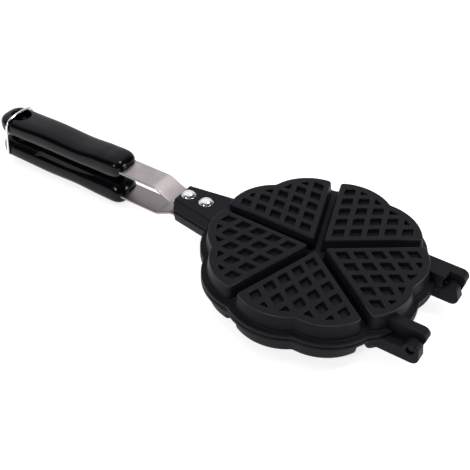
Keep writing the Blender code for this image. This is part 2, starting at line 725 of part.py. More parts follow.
def tail_top():
    """Height of the handle's outer face above the parting plane where the bail crosses it."""
    distance = HANDLE_LENGTH - BAIL_INSET
    return handle_middle(distance) + handle_size(distance)[1]


def bail_pivot():
    """Height of the bail's hole in the handle, above the parting plane of that half."""
    return tail_top() - BAIL_PIVOT_COVER


def bail_mesh():
    """The bail about its pivot: a hoop of round wire, upright, its two feet bent inwards."""
    side = handle_size(HANDLE_LENGTH - BAIL_INSET)[0]
    half = side + BAIL_SIDE_GAP + BAIL_WIRE_RADIUS
    top = bail_pivot() + tail_top() + BAIL_TOP_GAP + BAIL_WIRE_RADIUS
    upper, foot = half - BAIL_CORNER, half - BAIL_FOOT_CORNER
    right = [Vector((side - BAIL_HOLE_DEPTH + FIT, 0))]
    right += arc((foot, BAIL_FOOT_CORNER), BAIL_FOOT_CORNER, -math.pi / 2, 0, CORNER_STEPS)
    right += arc((upper, top - BAIL_CORNER), BAIL_CORNER, 0, math.pi / 2, CORNER_STEPS)
    path = right + [Vector((-p.x, p.y)) for p in reversed(right)]
    loops = []
    for k, here in enumerate(path):
        run = (path[min(k + 1, len(path) - 1)] - path[max(k - 1, 0)]).normalized()
        out = Vector((run.y, -run.x))
        loop = []
        for step in range(WIRE_SIDES):
            angle = math.tau * step / WIRE_SIDES
            flat = here + out * BAIL_WIRE_RADIUS * math.cos(angle)
            loop.append(Vector((BAIL_WIRE_RADIUS * math.sin(angle), flat.x, flat.y)))
        loops.append(loop)
    return shade_round(loft(loops))


# Assembly

def hub(name, location):
    """An empty that carries the pieces of one half or sits on a joint's axis."""
    item = bpy.data.objects.new(name, None)
    item.location = location
    bpy.context.scene.collection.objects.link(item)
    return item


def place(name, mesh, material, carrier, location=(0.0, 0.0, 0.0), turned_over=False):
    """A piece at its place under the hub that carries it."""
    item = piece(name, mesh, material)
    item.parent = carrier
    item.location = location
    if turned_over:
        item.rotation_euler = (math.pi, 0, 0)
    return item


def main():
    """Builds every piece."""
    clear_scene()
    coating = finish("black_nonstick", (0.022, 0.022, 0.025), 0.15, 0.42)
    steel = finish("satin_steel", (0.60, 0.58, 0.57), 1.0, 0.35)
    bright = finish("bright_steel", (0.75, 0.75, 0.76), 1.0, 0.18)
    moulding = finish("black_moulding", (0.012, 0.012, 0.014), 0.0, 0.16)

    parting = max(handle_middle(distance) + handle_size(distance)[1] for distance in handle_stations())
    lower = hub("lower_half", (CENTRE_SHIFT, 0, parting))
    hinge = hub("hinge_axis", (CENTRE_SHIFT + PIN_X, 0, parting))
    halves = (("upper", hinge, -PIN_X, False), ("lower", lower, 0.0, True))

    plate, strap, rivet, screw = plate_mesh(), strap_mesh(), rivet_mesh(), screw_mesh()
    handles = {"upper": handle_mesh(False), "lower": handle_mesh(True)}
    for half, carrier, shift, over in halves:
        place(half + "_plate", plate, coating, carrier, (shift, 0, 0), over)
        place(half + "_strap", strap, steel, carrier, (shift, 0, 0), over)
        place(half + "_handle", handles[half], moulding, carrier, (shift, 0, 0), over)
        height = -TONGUE_HEIGHT if over else TONGUE_HEIGHT
        for label, x in (("front", FRONT_RIVET_X), ("rear", REAR_RIVET_X)):
            place(half + "_" + label + "_rivet", rivet, bright, carrier, (shift + x, 0, height), over)
        for label, x in zip(("front", "rear"), screw_places()):
            place(half + "_" + label + "_screw", screw, steel, carrier, (shift + x, 0, 0), over)

    place("hinge_pin_near", pin_mesh(-1), bright, lower, (PIN_X, 0, 0))
    place("hinge_pin_far", pin_mesh(1), bright, lower, (PIN_X, 0, 0))
    place("latch_bail", bail_mesh(), bright, lower, (BAIL_X, 0, -bail_pivot()))


main()
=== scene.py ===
"""Looks of the heart waffle pan: finer pieces, finishes, floor, light and camera.

Every piece is made about the middle of the pan, with the parting plane at zero,
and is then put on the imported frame. The lower half is the upper one turned half
round about the long axis. All sizes are in metres.
"""
import json
import math

import bmesh
import bpy
from mathutils import Matrix, Vector


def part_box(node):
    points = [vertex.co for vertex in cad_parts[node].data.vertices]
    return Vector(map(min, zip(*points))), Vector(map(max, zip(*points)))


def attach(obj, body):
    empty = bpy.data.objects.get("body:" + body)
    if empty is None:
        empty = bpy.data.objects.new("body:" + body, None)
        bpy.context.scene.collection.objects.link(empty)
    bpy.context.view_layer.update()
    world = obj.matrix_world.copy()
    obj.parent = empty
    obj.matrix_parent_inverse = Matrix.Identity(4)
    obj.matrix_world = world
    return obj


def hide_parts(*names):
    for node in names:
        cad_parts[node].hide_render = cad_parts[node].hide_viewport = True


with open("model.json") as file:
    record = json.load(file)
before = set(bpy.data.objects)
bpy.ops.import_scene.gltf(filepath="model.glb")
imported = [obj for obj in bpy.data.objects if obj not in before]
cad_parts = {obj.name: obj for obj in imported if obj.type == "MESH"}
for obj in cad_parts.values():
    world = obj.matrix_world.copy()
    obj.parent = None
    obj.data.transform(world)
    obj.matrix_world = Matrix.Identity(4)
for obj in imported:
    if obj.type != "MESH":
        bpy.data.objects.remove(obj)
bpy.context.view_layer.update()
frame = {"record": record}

bl_info = {
    "name": "Heart Waffle Pan",
    "version": (1, 0, 0),
    "blender": (4, 5, 0),
    "location": "View3D > Sidebar > Waffle Pan",
    "description": "Builds the pieces, finishes and studio of a heart waffle pan",
    "category": "Object",
}

# The ring of hearts, as in the casting
HEARTS = 5
HALF_SHARE = math.pi / HEARTS
HEART_TURNS = [2 * HALF_SHARE * k for k in range(HEARTS)]
LOBE_CENTRE_RADIUS = 0.0393
LOBE_SPREAD = math.radians(19)
LOBE_RADIUS = 0.0355
LOBE_REACH = LOBE_CENTRE_RADIUS + LOBE_RADIUS
GROOVE_WIDTH = 0.0070
TIP_ROUND = 0.0016
CORNER_ROUND = 0.0028
NOTCH_ROUND = 0.0040

FIT = 0.0003                    # between pieces that touch on the real pan

# Heights of the casting above the parting plane
PARTING_HALF_GAP = 0.00015
PLATE_HEIGHT = 0.01475
GROOVE_FLOOR = 0.0045
FLANGE_THICKNESS = 0.0033
FLANGE_REACH = 0.0050
FLANGE_NOTCH_ROUND = 0.0060
WALL_DRAFT = 0.0016
WEB_INSET = 0.0006              # web inside the hearts' feet
WALL = 0.0024
SHEET_INSET = WALL / 8          # of the flats inside the casting, within its walls
CEILING = 0.0030
RIDGE_CREST = 0.0020
RIM_WIDTH = 0.0026              # sealing rim, outside the hearts' cavities

# Pits and pegs
ROW_COUNT = 5
PIT_PITCH = 0.159 * LOBE_REACH
FIRST_PIT_RADIUS = 0.259 * LOBE_REACH
PIT_SIDE = 0.664 * PIT_PITCH
PIT_DRAFT = 0.0007
PIT_DEPTH = 0.0062
CUT_PIT_MARGIN = 0.0050
PEG_WALL = 0.0011
PEG_DRAFT = 0.0009
PEG_DEPTH = 0.0052

# Tongue and hinge lugs
TONGUE_END = LOBE_REACH + 0.0358
TONGUE_ROOT = LOBE_REACH - 0.0058
TONGUE_HEIGHT = 0.0099
TONGUE_END_WIDTH = 0.0194
TONGUE_ROOT_WIDTH = 0.0325
TONGUE_DRAFT = 0.0023
TONGUE_ROOF = 0.0034
TONGUE_SIDE = 0.0027
CHANNEL_END = TONGUE_END - 0.0296
TONGUE_END_ROUND_SHARE = 0.8    # of the rounding along the hearts' tops
TONGUE_STEP_SHARE = 1 / 9       # of that rounding: run of the step in its underside
PIN_X = LOBE_REACH + 0.0125
PIN_RADIUS = 0.0025
PIN_RECESS = 0.0020
PIN_EDGE_SHARE = 0.3            # of the pin's radius
PIN_CROWN_SHARE = 0.2           # of that edge
KNUCKLE_RADIUS = 0.0048
LUG_HEIGHT = 0.0099
LUG_END_ROUND = 0.0050
LUG_OVERHANG = 0.0016           # of the arms' ends beyond the inner knuckle
OUTER_KNUCKLE_RADIUS = 0.0056
LUG_INNER = 0.0236
LUG_SPLIT = 0.0312
LUG_OUTER = 0.0391
ARM_GAP = 0.0002
NOTCH_GAP = 0.0002
BORE_SKIN = 0.0002              # over the bore's inner end
NOTCH_X = PIN_X - KNUCKLE_RADIUS - NOTCH_GAP
ROOT_STEP = 0.0022              # of a root's underside, which rises inside the rim
ROOT_LOW = RIDGE_CREST + 0.0008
ROOT_RADIUS = LOBE_RADIUS - 0.0005  # the roots end in the middle of the wall
NOTCH_CORNER_SHARE = 1.2        # of the rounding along the lugs
LUG_NUDGE_SHARE = 0.02          # of that rounding: keeps a root's flats out of the arm's

# Rivets and strap
REAR_RIVET_X = 0.0058 - TONGUE_END
FRONT_RIVET_X = REAR_RIVET_X + 0.0151
RIVET_HEAD_RADIUS = 0.0053
RIVET_HEAD_HEIGHT = 0.0028
RIVET_SHANK_RADIUS = 0.0024
RIVET_TAIL_RADIUS = 0.0038
RIVET_TAIL_HEIGHT = 0.0014
RIVET_LIP = 0.0001              # upright edge of the head
RIVET_DOME_SHARE = 0.97         # of the dome's spread, where the lip begins
STRAP_THICKNESS = 0.0020
STRAP_WIDTH = 0.0192
TANG_WIDTH = 0.0150
TANG_INSET = 0.0025
SHOULDER_SHARE = 0.5            # length of the strap's shoulders, of their width
STRAP_CRANK_RUN = 0.0150
STRAP_BEND = 0.0060
STRAP_RISE = 0.0112
STRAP_IN_HANDLE = 0.0530
TANG_MIDDLE = TONGUE_HEIGHT - TONGUE_ROOF - FIT - STRAP_THICKNESS / 2
STRAP_BEND_X = -(TONGUE_END + STRAP_BEND / 2 + STRAP_CRANK_RUN)  # of its upper bend

# Handle, its screws and its hanging hole
HANDLE_NOSE = TONGUE_END + 0.0475
HANDLE_LENGTH = 0.1242
HANDLE_WIDTH = 0.0272
HANDLE_THICKNESS = 0.0216
OUTER_SQUARENESS = 2.8
INNER_SQUARENESS = 2.25
WIDEST_SHARE = 0.57             # height of the widest level, from the parting plane
NOSE_LENGTH = 0.0110
NOSE_DEPTH = 0.0150
NOSE_POWER = 3.0
TAIL_LENGTH = 0.0130
TAIL_DEPTH = 0.0105
END_POWER = 2.2
FRONT_SCREW_X = -(HANDLE_NOSE + 0.0210)
REAR_SCREW_X = FRONT_SCREW_X - 0.0230
SCREW_RADIUS = 0.0020
SCREW_HEAD_RADIUS = 0.0037
SCREW_HEAD_HEIGHT = 0.0026
SCREW_SINK = 0.0010
SCREW_DEPTH = 0.0145
SCREW_HEAD_SHARES = ((0.62, 0.0), (0.84, 0.10), (0.96, 0.32), (1.0, 0.60))  # of radius and height
CROSS_ARM_SHARE = 0.50          # of the head's radius
CROSS_WIDTH_SHARE = 0.11
CROSS_DEPTH_SHARE = 0.50        # of the head's height
CROSS_TAPER_SHARE = 0.70
HOLE_RADIUS = 0.0076
HOLE_INSET = 0.0169
RECESS_START = 0.0225           # finger recess along one inner edge, from the nose
RECESS_END = 0.0865
RECESS_GROWTH = 0.0380          # over which it reaches its full depth
RECESS_DEPTH = 0.0066
RECESS_FROM_MIDDLE = 0.0079
RECESS_DRAFT = 0.24
RECESS_END_ROUND = 0.0050
RECESS_POWER = 1.6
SKIN_SHARE = 0.985              # of the handle's field, just under its skin
HANDLE_TAIL = HANDLE_NOSE + HANDLE_LENGTH
HOLE_X = HOLE_INSET - HANDLE_TAIL
HANDLE_PLACE_SHARES = (0.0, 0.16, 0.36, 0.60, 0.85, 1.0)
HANDLE_WIDTH_SHARES = (0.87, 0.90, 0.935, 0.96, 1.0, 0.965)
HANDLE_THICKNESS_SHARES = (0.993, 0.935, 0.855, 0.895, 0.84, 0.83)

# Bail
BAIL_WIRE_RADIUS = 0.0009
BAIL_INSET = 0.0118
BAIL_PIVOT_COVER = 0.0046
BAIL_HOLE_DEPTH = 0.0050
BAIL_SIDE_GAP = 0.0005
BAIL_TOP_GAP = 0.0005
BAIL_FOOT_CORNER = 0.0020
BAIL_LEAN = math.radians(6)     # towards the plates, at rest
BAIL_X = BAIL_INSET - HANDLE_TAIL

# Steps round the curves, angles from which an edge is drawn sharp, and small limits
TIP_STEPS = 6
CORNER_STEPS = 7
LOBE_STEPS = 22
NOTCH_STEPS = 6
ROUND_STEPS = 4
SMALL_STEPS = 3
EDGE_STEPS = 5
KNUCKLE_STEPS = 20
LUG_END_STEPS = 8
BEND_STEPS = 8
DOME_STEPS = 14
HOLE_STEPS = 8
RECESS_STEPS = 30
FOOT_STEPS = 10
SHOULDER_STEPS = 20
TURN_SIDES = 48
HOLE_SIDES = 96
WIRE_SIDES = 16
HANDLE_SIDES = 64
HANDLE_STEPS = 64
HANDLE_END_STEPS = 14
SHARP_ANGLE = math.radians(40)
HANDLE_SHARP_ANGLE = math.radians(30)
MOST_CUT_SHARE = 0.42           # of a side, taken up by a rounded corner
WELD = 1e-7
TINY = 1e-9
NUDGE = 2e-5                    # for the slope of the handle's skin
FIRST_END_STEP = 0.15           # of a step, from a handle's tip to its first section

# Finishes: ranges over which wear, painted highlights and painted shade set in or fade, shades of the
# colours, and depths of the grain
# Where the coating's outer top edges are lightened: partly rubbed wear, partly a painted highlight
WEAR_AND_PAINTED_HIGHLIGHT_REACH = (0.70 * LOBE_REACH, 0.92 * LOBE_REACH)  # from the middle of the pan
WEAR_AND_PAINTED_HIGHLIGHT_SLOPE = (0.60, 0.97)       # upright share of the surface's direction
WEAR_AND_PAINTED_HIGHLIGHT_PATCHES = (0.35, 0.60)     # of the cloud
GRIP_RUBS = (0.45, 0.75)
STRAP_STREAKS = (0.40, 0.60)
STRAP_INSIDE = (-0.3, 0.3)      # upright share of the surface's direction
PAINTED_BEND_HIGHLIGHT_FROM = (-0.003, 0.001)   # past the strap's upper bend, as are the next two: a painted highlight over the bend, then painted shade towards the tongue
PAINTED_BEND_HIGHLIGHT_TO = (0.004, 0.011)
PAINTED_TONGUE_SHADE_FROM = (0.009, 0.015)
COATING_SHADES = (0.75, 1.25)
HANDLE_SHADES = (0.8, 1.2)
STRAP_SHADES = (0.90, 1.08)
# Lighter factor for the painted highlight over the strap's bend, then darker factor for the painted shade
# towards the tongue
PAINTED_BEND_HIGHLIGHT_FACTOR = 1.34
PAINTED_TONGUE_SHADE_FACTOR = 0.70
INSIDE_SHADE = 0.60
BRIGHT_SHADES = (0.90, 1.0)
PIN_SHADES = (0.7, 1.3)
FLOOR_SHADES = (0.99, 1.0)
WAVE_HEIGHT = 0.00025           # of the handles' skin
LINE_HEIGHT = 0.00002           # of the straps' rolling lines
HAIR_HEIGHT = 0.00001           # of hairlines in polished and oiled steel
FLOOR_ROUGHNESS = 0.8
FLOOR_UNEVENNESS = 0.0001
ROOM_COLOUR = (0.97, 0.96, 1.0, 1.0)
ROOM_FAR = (-0.60, -0.10)       # of a direction's y, x and z: where the pale wall fades
ROOM_LEFT = (0.0, 0.60)
ROOM_HIGH = (-0.10, 0.75)

# Camera, found by matching the hearts' outlines with the photograph
IMAGE_SIDE = 470
CAMERA_FOCUS = 883.96           # in pixels of that image
SENSOR_WIDTH = 36.0             # in millimetres
CAMERA_AZIMUTH = 31.95
CAMERA_ELEVATION = 40.30
CAMERA_ROLL = math.radians(1.85)
CAMERA_FROM_PAN = Vector((0.1890, -0.4067, 0.3980))  # from the middle of the pan

# Lights: name, property of their power, side, azimuth and elevation in degrees, distance
LIGHTS = (
    ("key_softbox", "key_light", 0.30, 130, 67, 1.4),
    ("right_window", "side_light", 0.30, 117, 17, 1.2),
    ("front_window", "side_light", 0.30, -8, 32, 1.2),
)

hinge_joint = next(joint for joint in frame["record"]["behaviour"]["joints"] if joint["name"] == "pan_hinge")
PAN_MIDDLE = Vector(hinge_joint["pos_m"]) - Vector((PIN_X, 0, 0))
HALVES = {
    "upper": Matrix.Translation(PAN_MIDDLE),
    "lower": Matrix.Translation(PAN_MIDDLE) @ Matrix.Rotation(math.pi, 4, "X"),
}


# Flat loops

def polar(radius, angle):
    """A flat point at a distance and an angle from the middle of the pan."""
    return radius * Vector((math.cos(angle), math.sin(angle)))


def arc(centre, radius, start, end, steps):
    """Points on an arc from one angle to another, both ends included."""
    points = []
    for step in range(steps + 1):
        angle = start + (end - start) * step / steps
        points.append(Vector((centre[0] + radius * math.cos(angle), centre[1] + radius * math.sin(angle))))
    return points


def circle(radius, sides, centre=(0, 0)):
    """A closed loop of points round a circle."""
    return arc(centre, radius, 0, math.tau, sides)[:-1]


def eased(share):
    """A share from zero to one, eased at both ends."""
    return share * share * (3 - 2 * share)


def angle_of(vector):
    """Direction of a flat vector."""
    return math.atan2(vector.y, vector.x)


def turned(loop, angle):
    """A loop turned about the middle of the pan."""
    cosine, sine = math.cos(angle), math.sin(angle)
    return [Vector((p.x * cosine - p.y * sine, p.x * sine + p.y * cosine)) for p in loop]


def grown(loop, distance):
    """A counter-clockwise loop moved outwards, its corners kept."""
    points = []
    for k, here in enumerate(loop):
        before = (here - loop[k - 1]).normalized()
        after = (loop[(k + 1) % len(loop)] - here).normalized()
        first = Vector((before.y, -before.x))
        second = Vector((after.y, -after.x))
        points.append(here + (first + second) * distance / (1 + first.dot(second)))
    return points


def rounded(loop, radius, steps=ROUND_STEPS):
    """A convex loop with an arc in place of each corner."""
    points = []
    for k, here in enumerate(loop):
        back = loop[k - 1] - here
        ahead = loop[(k + 1) % len(loop)] - here
        half = back.angle(ahead) / 2
        cut = min(radius / math.tan(half), MOST_CUT_SHARE * min(back.length, ahead.length))
        size = cut * math.tan(half)
        centre = here + (back.normalized() + ahead.normalized()).normalized() * size / math.sin(half)
        start = angle_of(here + back.normalized() * cut - centre)
        points += arc(centre, size, start, start + math.pi - 2 * half, steps)
    return points


def heart_outline(offset=0.0):
    """One heart about +X, its tip towards the middle of the pan."""
    along = polar(1, HALF_SHARE)
    inward = polar(1, HALF_SHARE - math.pi / 2)
    lobe_centre = polar(LOBE_CENTRE_RADIUS, LOBE_SPREAD)
    tip_centre = Vector(((GROOVE_WIDTH / 2 + TIP_ROUND) / math.sin(HALF_SHARE), 0))
    foot = inward * (GROOVE_WIDTH / 2 + CORNER_ROUND)
    reach = (foot - lobe_centre).dot(along)
    spare = (foot - lobe_centre).length_squared - (LOBE_RADIUS - CORNER_ROUND) ** 2
    corner_centre = foot + along * (math.sqrt(reach ** 2 - spare) - reach)
    span = math.sqrt((LOBE_RADIUS + NOTCH_ROUND) ** 2 - lobe_centre.y ** 2)
    notch_centre = Vector((lobe_centre.x + span, 0))
    edge_angle = HALF_SHARE + math.pi / 2
    corner_angle = angle_of(corner_centre - lobe_centre)
    lobe_end = angle_of(notch_centre - lobe_centre)
    side = arc(tip_centre, TIP_ROUND + offset, math.pi, edge_angle, TIP_STEPS)
    side += arc(corner_centre, CORNER_ROUND + offset, edge_angle, corner_angle, CORNER_STEPS)
    side += arc(lobe_centre, LOBE_RADIUS + offset, corner_angle, lobe_end, LOBE_STEPS)[1:]
    side += arc(notch_centre, NOTCH_ROUND - offset, lobe_end + math.pi, math.pi, NOTCH_STEPS)[1:]
    mirrored = [Vector((p.x, -p.y)) for p in side[1:-1]]
    return list(reversed(side + list(reversed(mirrored))))


def rosette_outline(lobe, notch, offset=0.0):
    """All ten lobes in one ring, with rounded notches between them."""
    gaps = (LOBE_SPREAD, HALF_SHARE - LOBE_SPREAD)
    centre = Vector((LOBE_CENTRE_RADIUS, 0))
    points = []
    for turn in HEART_TURNS:
        for side, before, after in ((-1, gaps[1], gaps[0]), (1, gaps[0], gaps[1])):
            ends = []
            for gap in (-before, after):
                rise = LOBE_CENTRE_RADIUS * math.sin(abs(gap))
                out = LOBE_CENTRE_RADIUS * math.cos(gap) + math.sqrt((lobe + notch) ** 2 - rise ** 2)
                ends.append(polar(out, gap))
            start, end = (angle_of(point - centre) for point in ends)
            stretch = arc(centre, lobe + offset, start, end, LOBE_STEPS)
            turn_in = math.pi + after
            stretch += arc(ends[1], notch - offset, end + math.pi, turn_in, NOTCH_STEPS)[1:]
            turn_out = 2 * turn_in - (end + math.pi)
            stretch += arc(ends[1], notch - offset, turn_in, turn_out, NOTCH_STEPS)[1:-1]
            points += turned(stretch, turn + side * LOBE_SPREAD)
    return points


def flange_outline(offset=0.0):
    """The flange's outer edge."""
    return rosette_outline(LOBE_RADIUS + FLANGE_REACH, FLANGE_NOTCH_ROUND, offset)


def wall_outline(offset=0.0):
    """The outer walls of all the hearts in one ring."""
    return rosette_outline(LOBE_RADIUS, NOTCH_ROUND, offset)


# Surfaces from loops

def ring(build, loop, height):
    """A loop's vertices at a height, or at a height for each point."""
    heights = height if isinstance(height, list) else [height] * len(loop)
    return [build.verts.new((p.x, p.y, z)) for p, z in zip(loop, heights)]


def skin(build, rings):
    """Strips between rings given from the inside out, facing up."""
    for inner, outer in zip(rings, rings[1:]):
        for k in range(len(inner)):
            after = (k + 1) % len(inner)
            build.faces.new((inner[k], outer[k], outer[after], inner[after]))


def loft(build, loops):
    """Strips between loops given with their heights, from the inside out. Returns their rings."""
    rings = [ring(build, loop, height) for loop, height in loops]
    skin(build, rings)
    return rings


def sheet(build, *rings):
    """A flat sheet inside the first ring, with the other rings as holes, facing up."""
    edges = []
    for loop in rings:
        for k, vertex in enumerate(loop):
            pair = (loop[k - 1], vertex)
            edges.append(build.edges.get(pair) or build.edges.new(pair))
    filled = bmesh.ops.triangle_fill(build, use_beauty=True, edges=edges, normal=(0, 0, 1))
    for face in filled["geom"]:
        if isinstance(face, bmesh.types.BMFace):
            face.normal_update()
            if face.normal.z < 0:
                face.normal_flip()


def quarter(steps=ROUND_STEPS):
    """Sine and cosine at even steps of a quarter turn."""
    return [(math.sin(k * math.pi / 2 / steps), math.cos(k * math.pi / 2 / steps)) for k in range(steps + 1)]


def rounding(out, down, steps=ROUND_STEPS):
    """Offset and height at each step over a rounded edge, from its flat to its wall."""
    return [(out * (sine - 1), down * (cosine - 1)) for sine, cosine in quarter(steps)]


def fillet(out, up, steps=ROUND_STEPS):
    """Offset and height at each step down a fillet, from its wall to its flat."""
    return [(out * (1 - cosine), up * (1 - sine)) for sine, cosine in quarter(steps)]


def stepped(outline, inset, height, steps):
    """An outline's loops with their heights, at each step of a rounding or fillet."""
    return [(outline(inset + out), height + up) for out, up in steps]


def heading(path, k):
    """Direction of a path at one of its points."""
    return (path[min(k + 1, len(path) - 1)] - path[max(k - 1, 0)]).normalized()


def facing_down(build):
    """Mirrors what was made face up, so that it faces down."""
    for vertex in build.verts:
        vertex.co.z = -vertex.co.z
    bmesh.ops.reverse_faces(build, faces=build.faces)


def merged(*builds):
    """One smooth mesh from several bmeshes, welded where they meet."""
    whole = bmesh.new()
    for build in builds:
        part = bpy.data.meshes.new("part")
        build.to_mesh(part)
        build.free()
        whole.from_mesh(part)
        bpy.data.meshes.remove(part)
    bmesh.ops.remove_doubles(whole, verts=whole.verts, dist=WELD)
    mesh = bpy.data.meshes.new("shape")
    whole.to_mesh(mesh)
    whole.free()
    mesh.shade_smooth()
    mesh.set_sharp_from_angle(angle=SHARP_ANGLE)
    return mesh


def lathe(profile, sides=TURN_SIDES):
    """A body turned about +Z from radius and height pairs, top to bottom."""
    build = bmesh.new()
    rings = []
    for radius, height in profile:
        if radius == 0:
            rings.append([build.verts.new((0, 0, height))])
        else:
            rings.append(ring(build, circle(radius, sides), height))
    for upper, lower in zip(rings, rings[1:]):
        for side in range(sides):
            after = (side + 1) % sides
            corners = [upper[side % len(upper)], lower[side % len(lower)], lower[after % len(lower)],
                       upper[after % len(upper)]]
            build.faces.new(list(dict.fromkeys(corners)))
    return merged(build)


def sweep(sections):
    """A closed body through equally long sections."""
    build = bmesh.new()
    rings = [[build.verts.new(point) for point in section] for section in sections]
    skin(build, rings)
    build.faces.new(list(reversed(rings[-1])))
    build.faces.new(rings[0])
    bmesh.ops.recalc_face_normals(build, faces=build.faces)
    return build


def add_piece(name, mesh, material, body, replaced, matrix):
    """A shown piece on its CAD body, in place of the CAD nodes it stands for."""
    item = bpy.data.objects.new(name, mesh)
    bpy.context.scene.collection.objects.link(item)
    mesh.materials.clear()
    mesh.materials.append(material)
    item.matrix_world = matrix
    if not mesh.has_custom_normals:
        flats = item.modifiers.new("true_flats", "WEIGHTED_NORMAL")
        flats.keep_sharp = True
    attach(item, body)
    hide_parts(*replaced)
    return item


def add_to_halves(mesh, material, slot, *pieces):
    """Pieces in both halves, each given as its name, its CAD node and its place."""
    for half, matrix in HALVES.items():
        for name, node, place in pieces:
            seat = matrix @ Matrix.Translation(place)
            add_piece(half + "_" + name, mesh, material, half + "_half", [half + "_" + node], seat)


# Shader maths

class Value:
    """A shader socket that takes part in sums."""

    def __init__(self, finish, socket):
        self.finish = finish
        self.socket = socket

    def _maths(self, operation, first, second):
        return self.finish.node("ShaderNodeMath", {"operation": operation}, {0: first, 1: second})

    def __add__(self, other):
        return self._maths("ADD", self, other)

    def __sub__(self, other):
        return self._maths("SUBTRACT", self, other)

    def __rsub__(self, other):
        return self._maths("SUBTRACT", other, self)

    def __mul__(self, other):
        return self._maths("MULTIPLY", self, other)

    def __pow__(self, other):
        return self._maths("POWER", self, other)

    __radd__ = __add__
    __rmul__ = __mul__


class Nodes:
    """A node tree whose nodes are made one call at a time."""

    def __init__(self, tree):
        self.tree = tree

    def node(self, kind, settings=None, sockets=None, output=0):
        """A node with its settings, its sockets' values or links, and the wanted output."""
        made = self.tree.nodes.new(kind)
        for key, value in (settings or {}).items():
            setattr(made, key, value)
        for key, value in (sockets or {}).items():
            self.put(made.inputs[key], value)
        return Value(self, made.outputs[output])

    def put(self, socket, value):
        """A value or a link into a socket."""
        if isinstance(value, Value):
            self.tree.links.new(value.socket, socket)
        else:
            socket.default_value = value

    def mix(self, factor, first, second):
        """A colour between two, each a link or a plain colour."""
        first, second = (c if isinstance(c, Value) else (*c, 1.0) for c in (first, second))
        return self.node("ShaderNodeMix", {"data_type": "RGBA"}, {0: factor, 6: first, 7: second}, output=2)

    def shades(self, factor, colour, dark, light):
        """A colour that runs between two shades of itself."""
        return self.mix(factor, shade(colour, dark), shade(colour, light))

    def axes(self, vector):
        """The three parts of a vector."""
        first = self.node("ShaderNodeSeparateXYZ", None, {0: vector})
        return [Value(self, socket) for socket in first.socket.node.outputs]

    def stretched_place(self, stretch):
        """The piece's own coordinates, multiplied along each axis."""
        place = self.node("ShaderNodeTexCoord", output=3)
        return self.node("ShaderNodeVectorMath", {"operation": "MULTIPLY"}, {0: place, 1: stretch})

    def noise(self, stretch, detail=2.0, rough=0.5):
        """Grey noise with the given number of lumps a metre along each axis."""
        place = self.stretched_place(stretch)
        sockets = {"Vector": place, "Scale": 1.0, "Detail": detail, "Roughness": rough}
        return self.node("ShaderNodeTexNoise", None, sockets)

    def ranged(self, value, low, high, to_low, to_high):
        """A value carried smoothly from one range to another, held at the ends."""
        sockets = {0: value, 1: low, 2: high, 3: to_low, 4: to_high}
        return self.node("ShaderNodeMapRange", {"interpolation_type": "SMOOTHSTEP"}, sockets)

    def bump(self, height, distance, normal=None):
        """A normal bent by a height in shares of the distance."""
        sockets = {"Height": height, "Distance": distance, "Strength": 1.0}
        if normal:
            sockets["Normal"] = normal
        return self.node("ShaderNodeBump", None, sockets)


class Finish(Nodes):
    """One material: its node tree and its Principled shader."""

    def __init__(self, name, metallic, specular=0.5):
        self.material = bpy.data.materials.new(name)
        self.material.use_nodes = True
        super().__init__(self.material.node_tree)
        self.shader = self.tree.nodes["Principled BSDF"]
        self.shader.inputs["Metallic"].default_value = metallic
        self.shader.inputs["Specular IOR Level"].default_value = specular

    def done(self, colour, roughness, normal):
        """The finished material."""
        self.put(self.shader.inputs["Base Color"], colour)
        self.put(self.shader.inputs["Roughness"], roughness)
        self.put(self.shader.inputs["Normal"], normal)
        return self.material


# Finishes

def shade(colour, factor):
    """A colour made lighter or darker."""
    return tuple(channel * factor for channel in colour)


def coating_finish(look):
    """Satin black non-stick coating: fine pebble, duller and painted darker low down as shade, and lighter
    along outer top edges as partly rubbed wear, partly a painted highlight.
    """
    finish = Finish("black_nonstick", metallic=0.0, specular=0.07)
    x, y, height = finish.axes(finish.stretched_place((1, 1, 1)))
    facing = finish.axes(finish.node("ShaderNodeTexCoord", output=1))[2]
    high = finish.ranged(height, GROOVE_FLOOR, PLATE_HEIGHT, 0.0, 1.0)
    outside = finish.ranged((x * x + y * y) ** 0.5, *WEAR_AND_PAINTED_HIGHLIGHT_REACH, 0.1, 1.0)
    near_top = (PLATE_HEIGHT - look.edge_round, PLATE_HEIGHT - look.edge_round / 2)
    edge = finish.ranged(facing, *WEAR_AND_PAINTED_HIGHLIGHT_SLOPE, 1.0, 0.0) * finish.ranged(height, *near_top, 0.0, 1.0)
    cloud = finish.noise((70, 70, 70), detail=3)
    pebble = finish.noise((1500, 1500, 1500), detail=1)
    ripple = finish.noise((260, 260, 260), detail=2)
    # Lighter along the hearts' outer top edges: partly rubbed wear, partly a painted highlight
    wear_and_painted_highlight = edge * outside * finish.ranged(cloud, *WEAR_AND_PAINTED_HIGHLIGHT_PATCHES, 0.5, 1.0)
    # Tops lighter and low parts darker: painted shade in the grooves and pits, over a random cloud
    colour = finish.shades(cloud * 0.5 + high * 0.3, look.coating_colour, *COATING_SHADES)
    colour = finish.mix(wear_and_painted_highlight, colour, look.wear_and_painted_highlight_colour)
    roughness = look.coating_roughness + cloud * 0.10 - high * 0.06 - wear_and_painted_highlight * 0.08
    return finish.done(colour, roughness, finish.bump(pebble + ripple * 0.8, look.pebble_height))


def moulding_finish(look):
    """Glossy black thermoset: deep, with a faint waviness and fine rubbing along the grip."""
    finish = Finish("black_moulding", metallic=0.0, specular=0.155)
    cloud = finish.noise((40, 40, 40), detail=3)
    rubs = finish.noise((60, 1100, 1100), detail=3, rough=0.7)
    wave = finish.noise((28, 45, 45), detail=1)
    colour = finish.shades(cloud, look.handle_colour, *HANDLE_SHADES)
    roughness = look.handle_roughness + finish.ranged(rubs, *GRIP_RUBS, 0.0, 0.05) + cloud * 0.03
    return finish.done(colour, roughness, finish.bump(wave + rubs * 0.01, WAVE_HEIGHT))


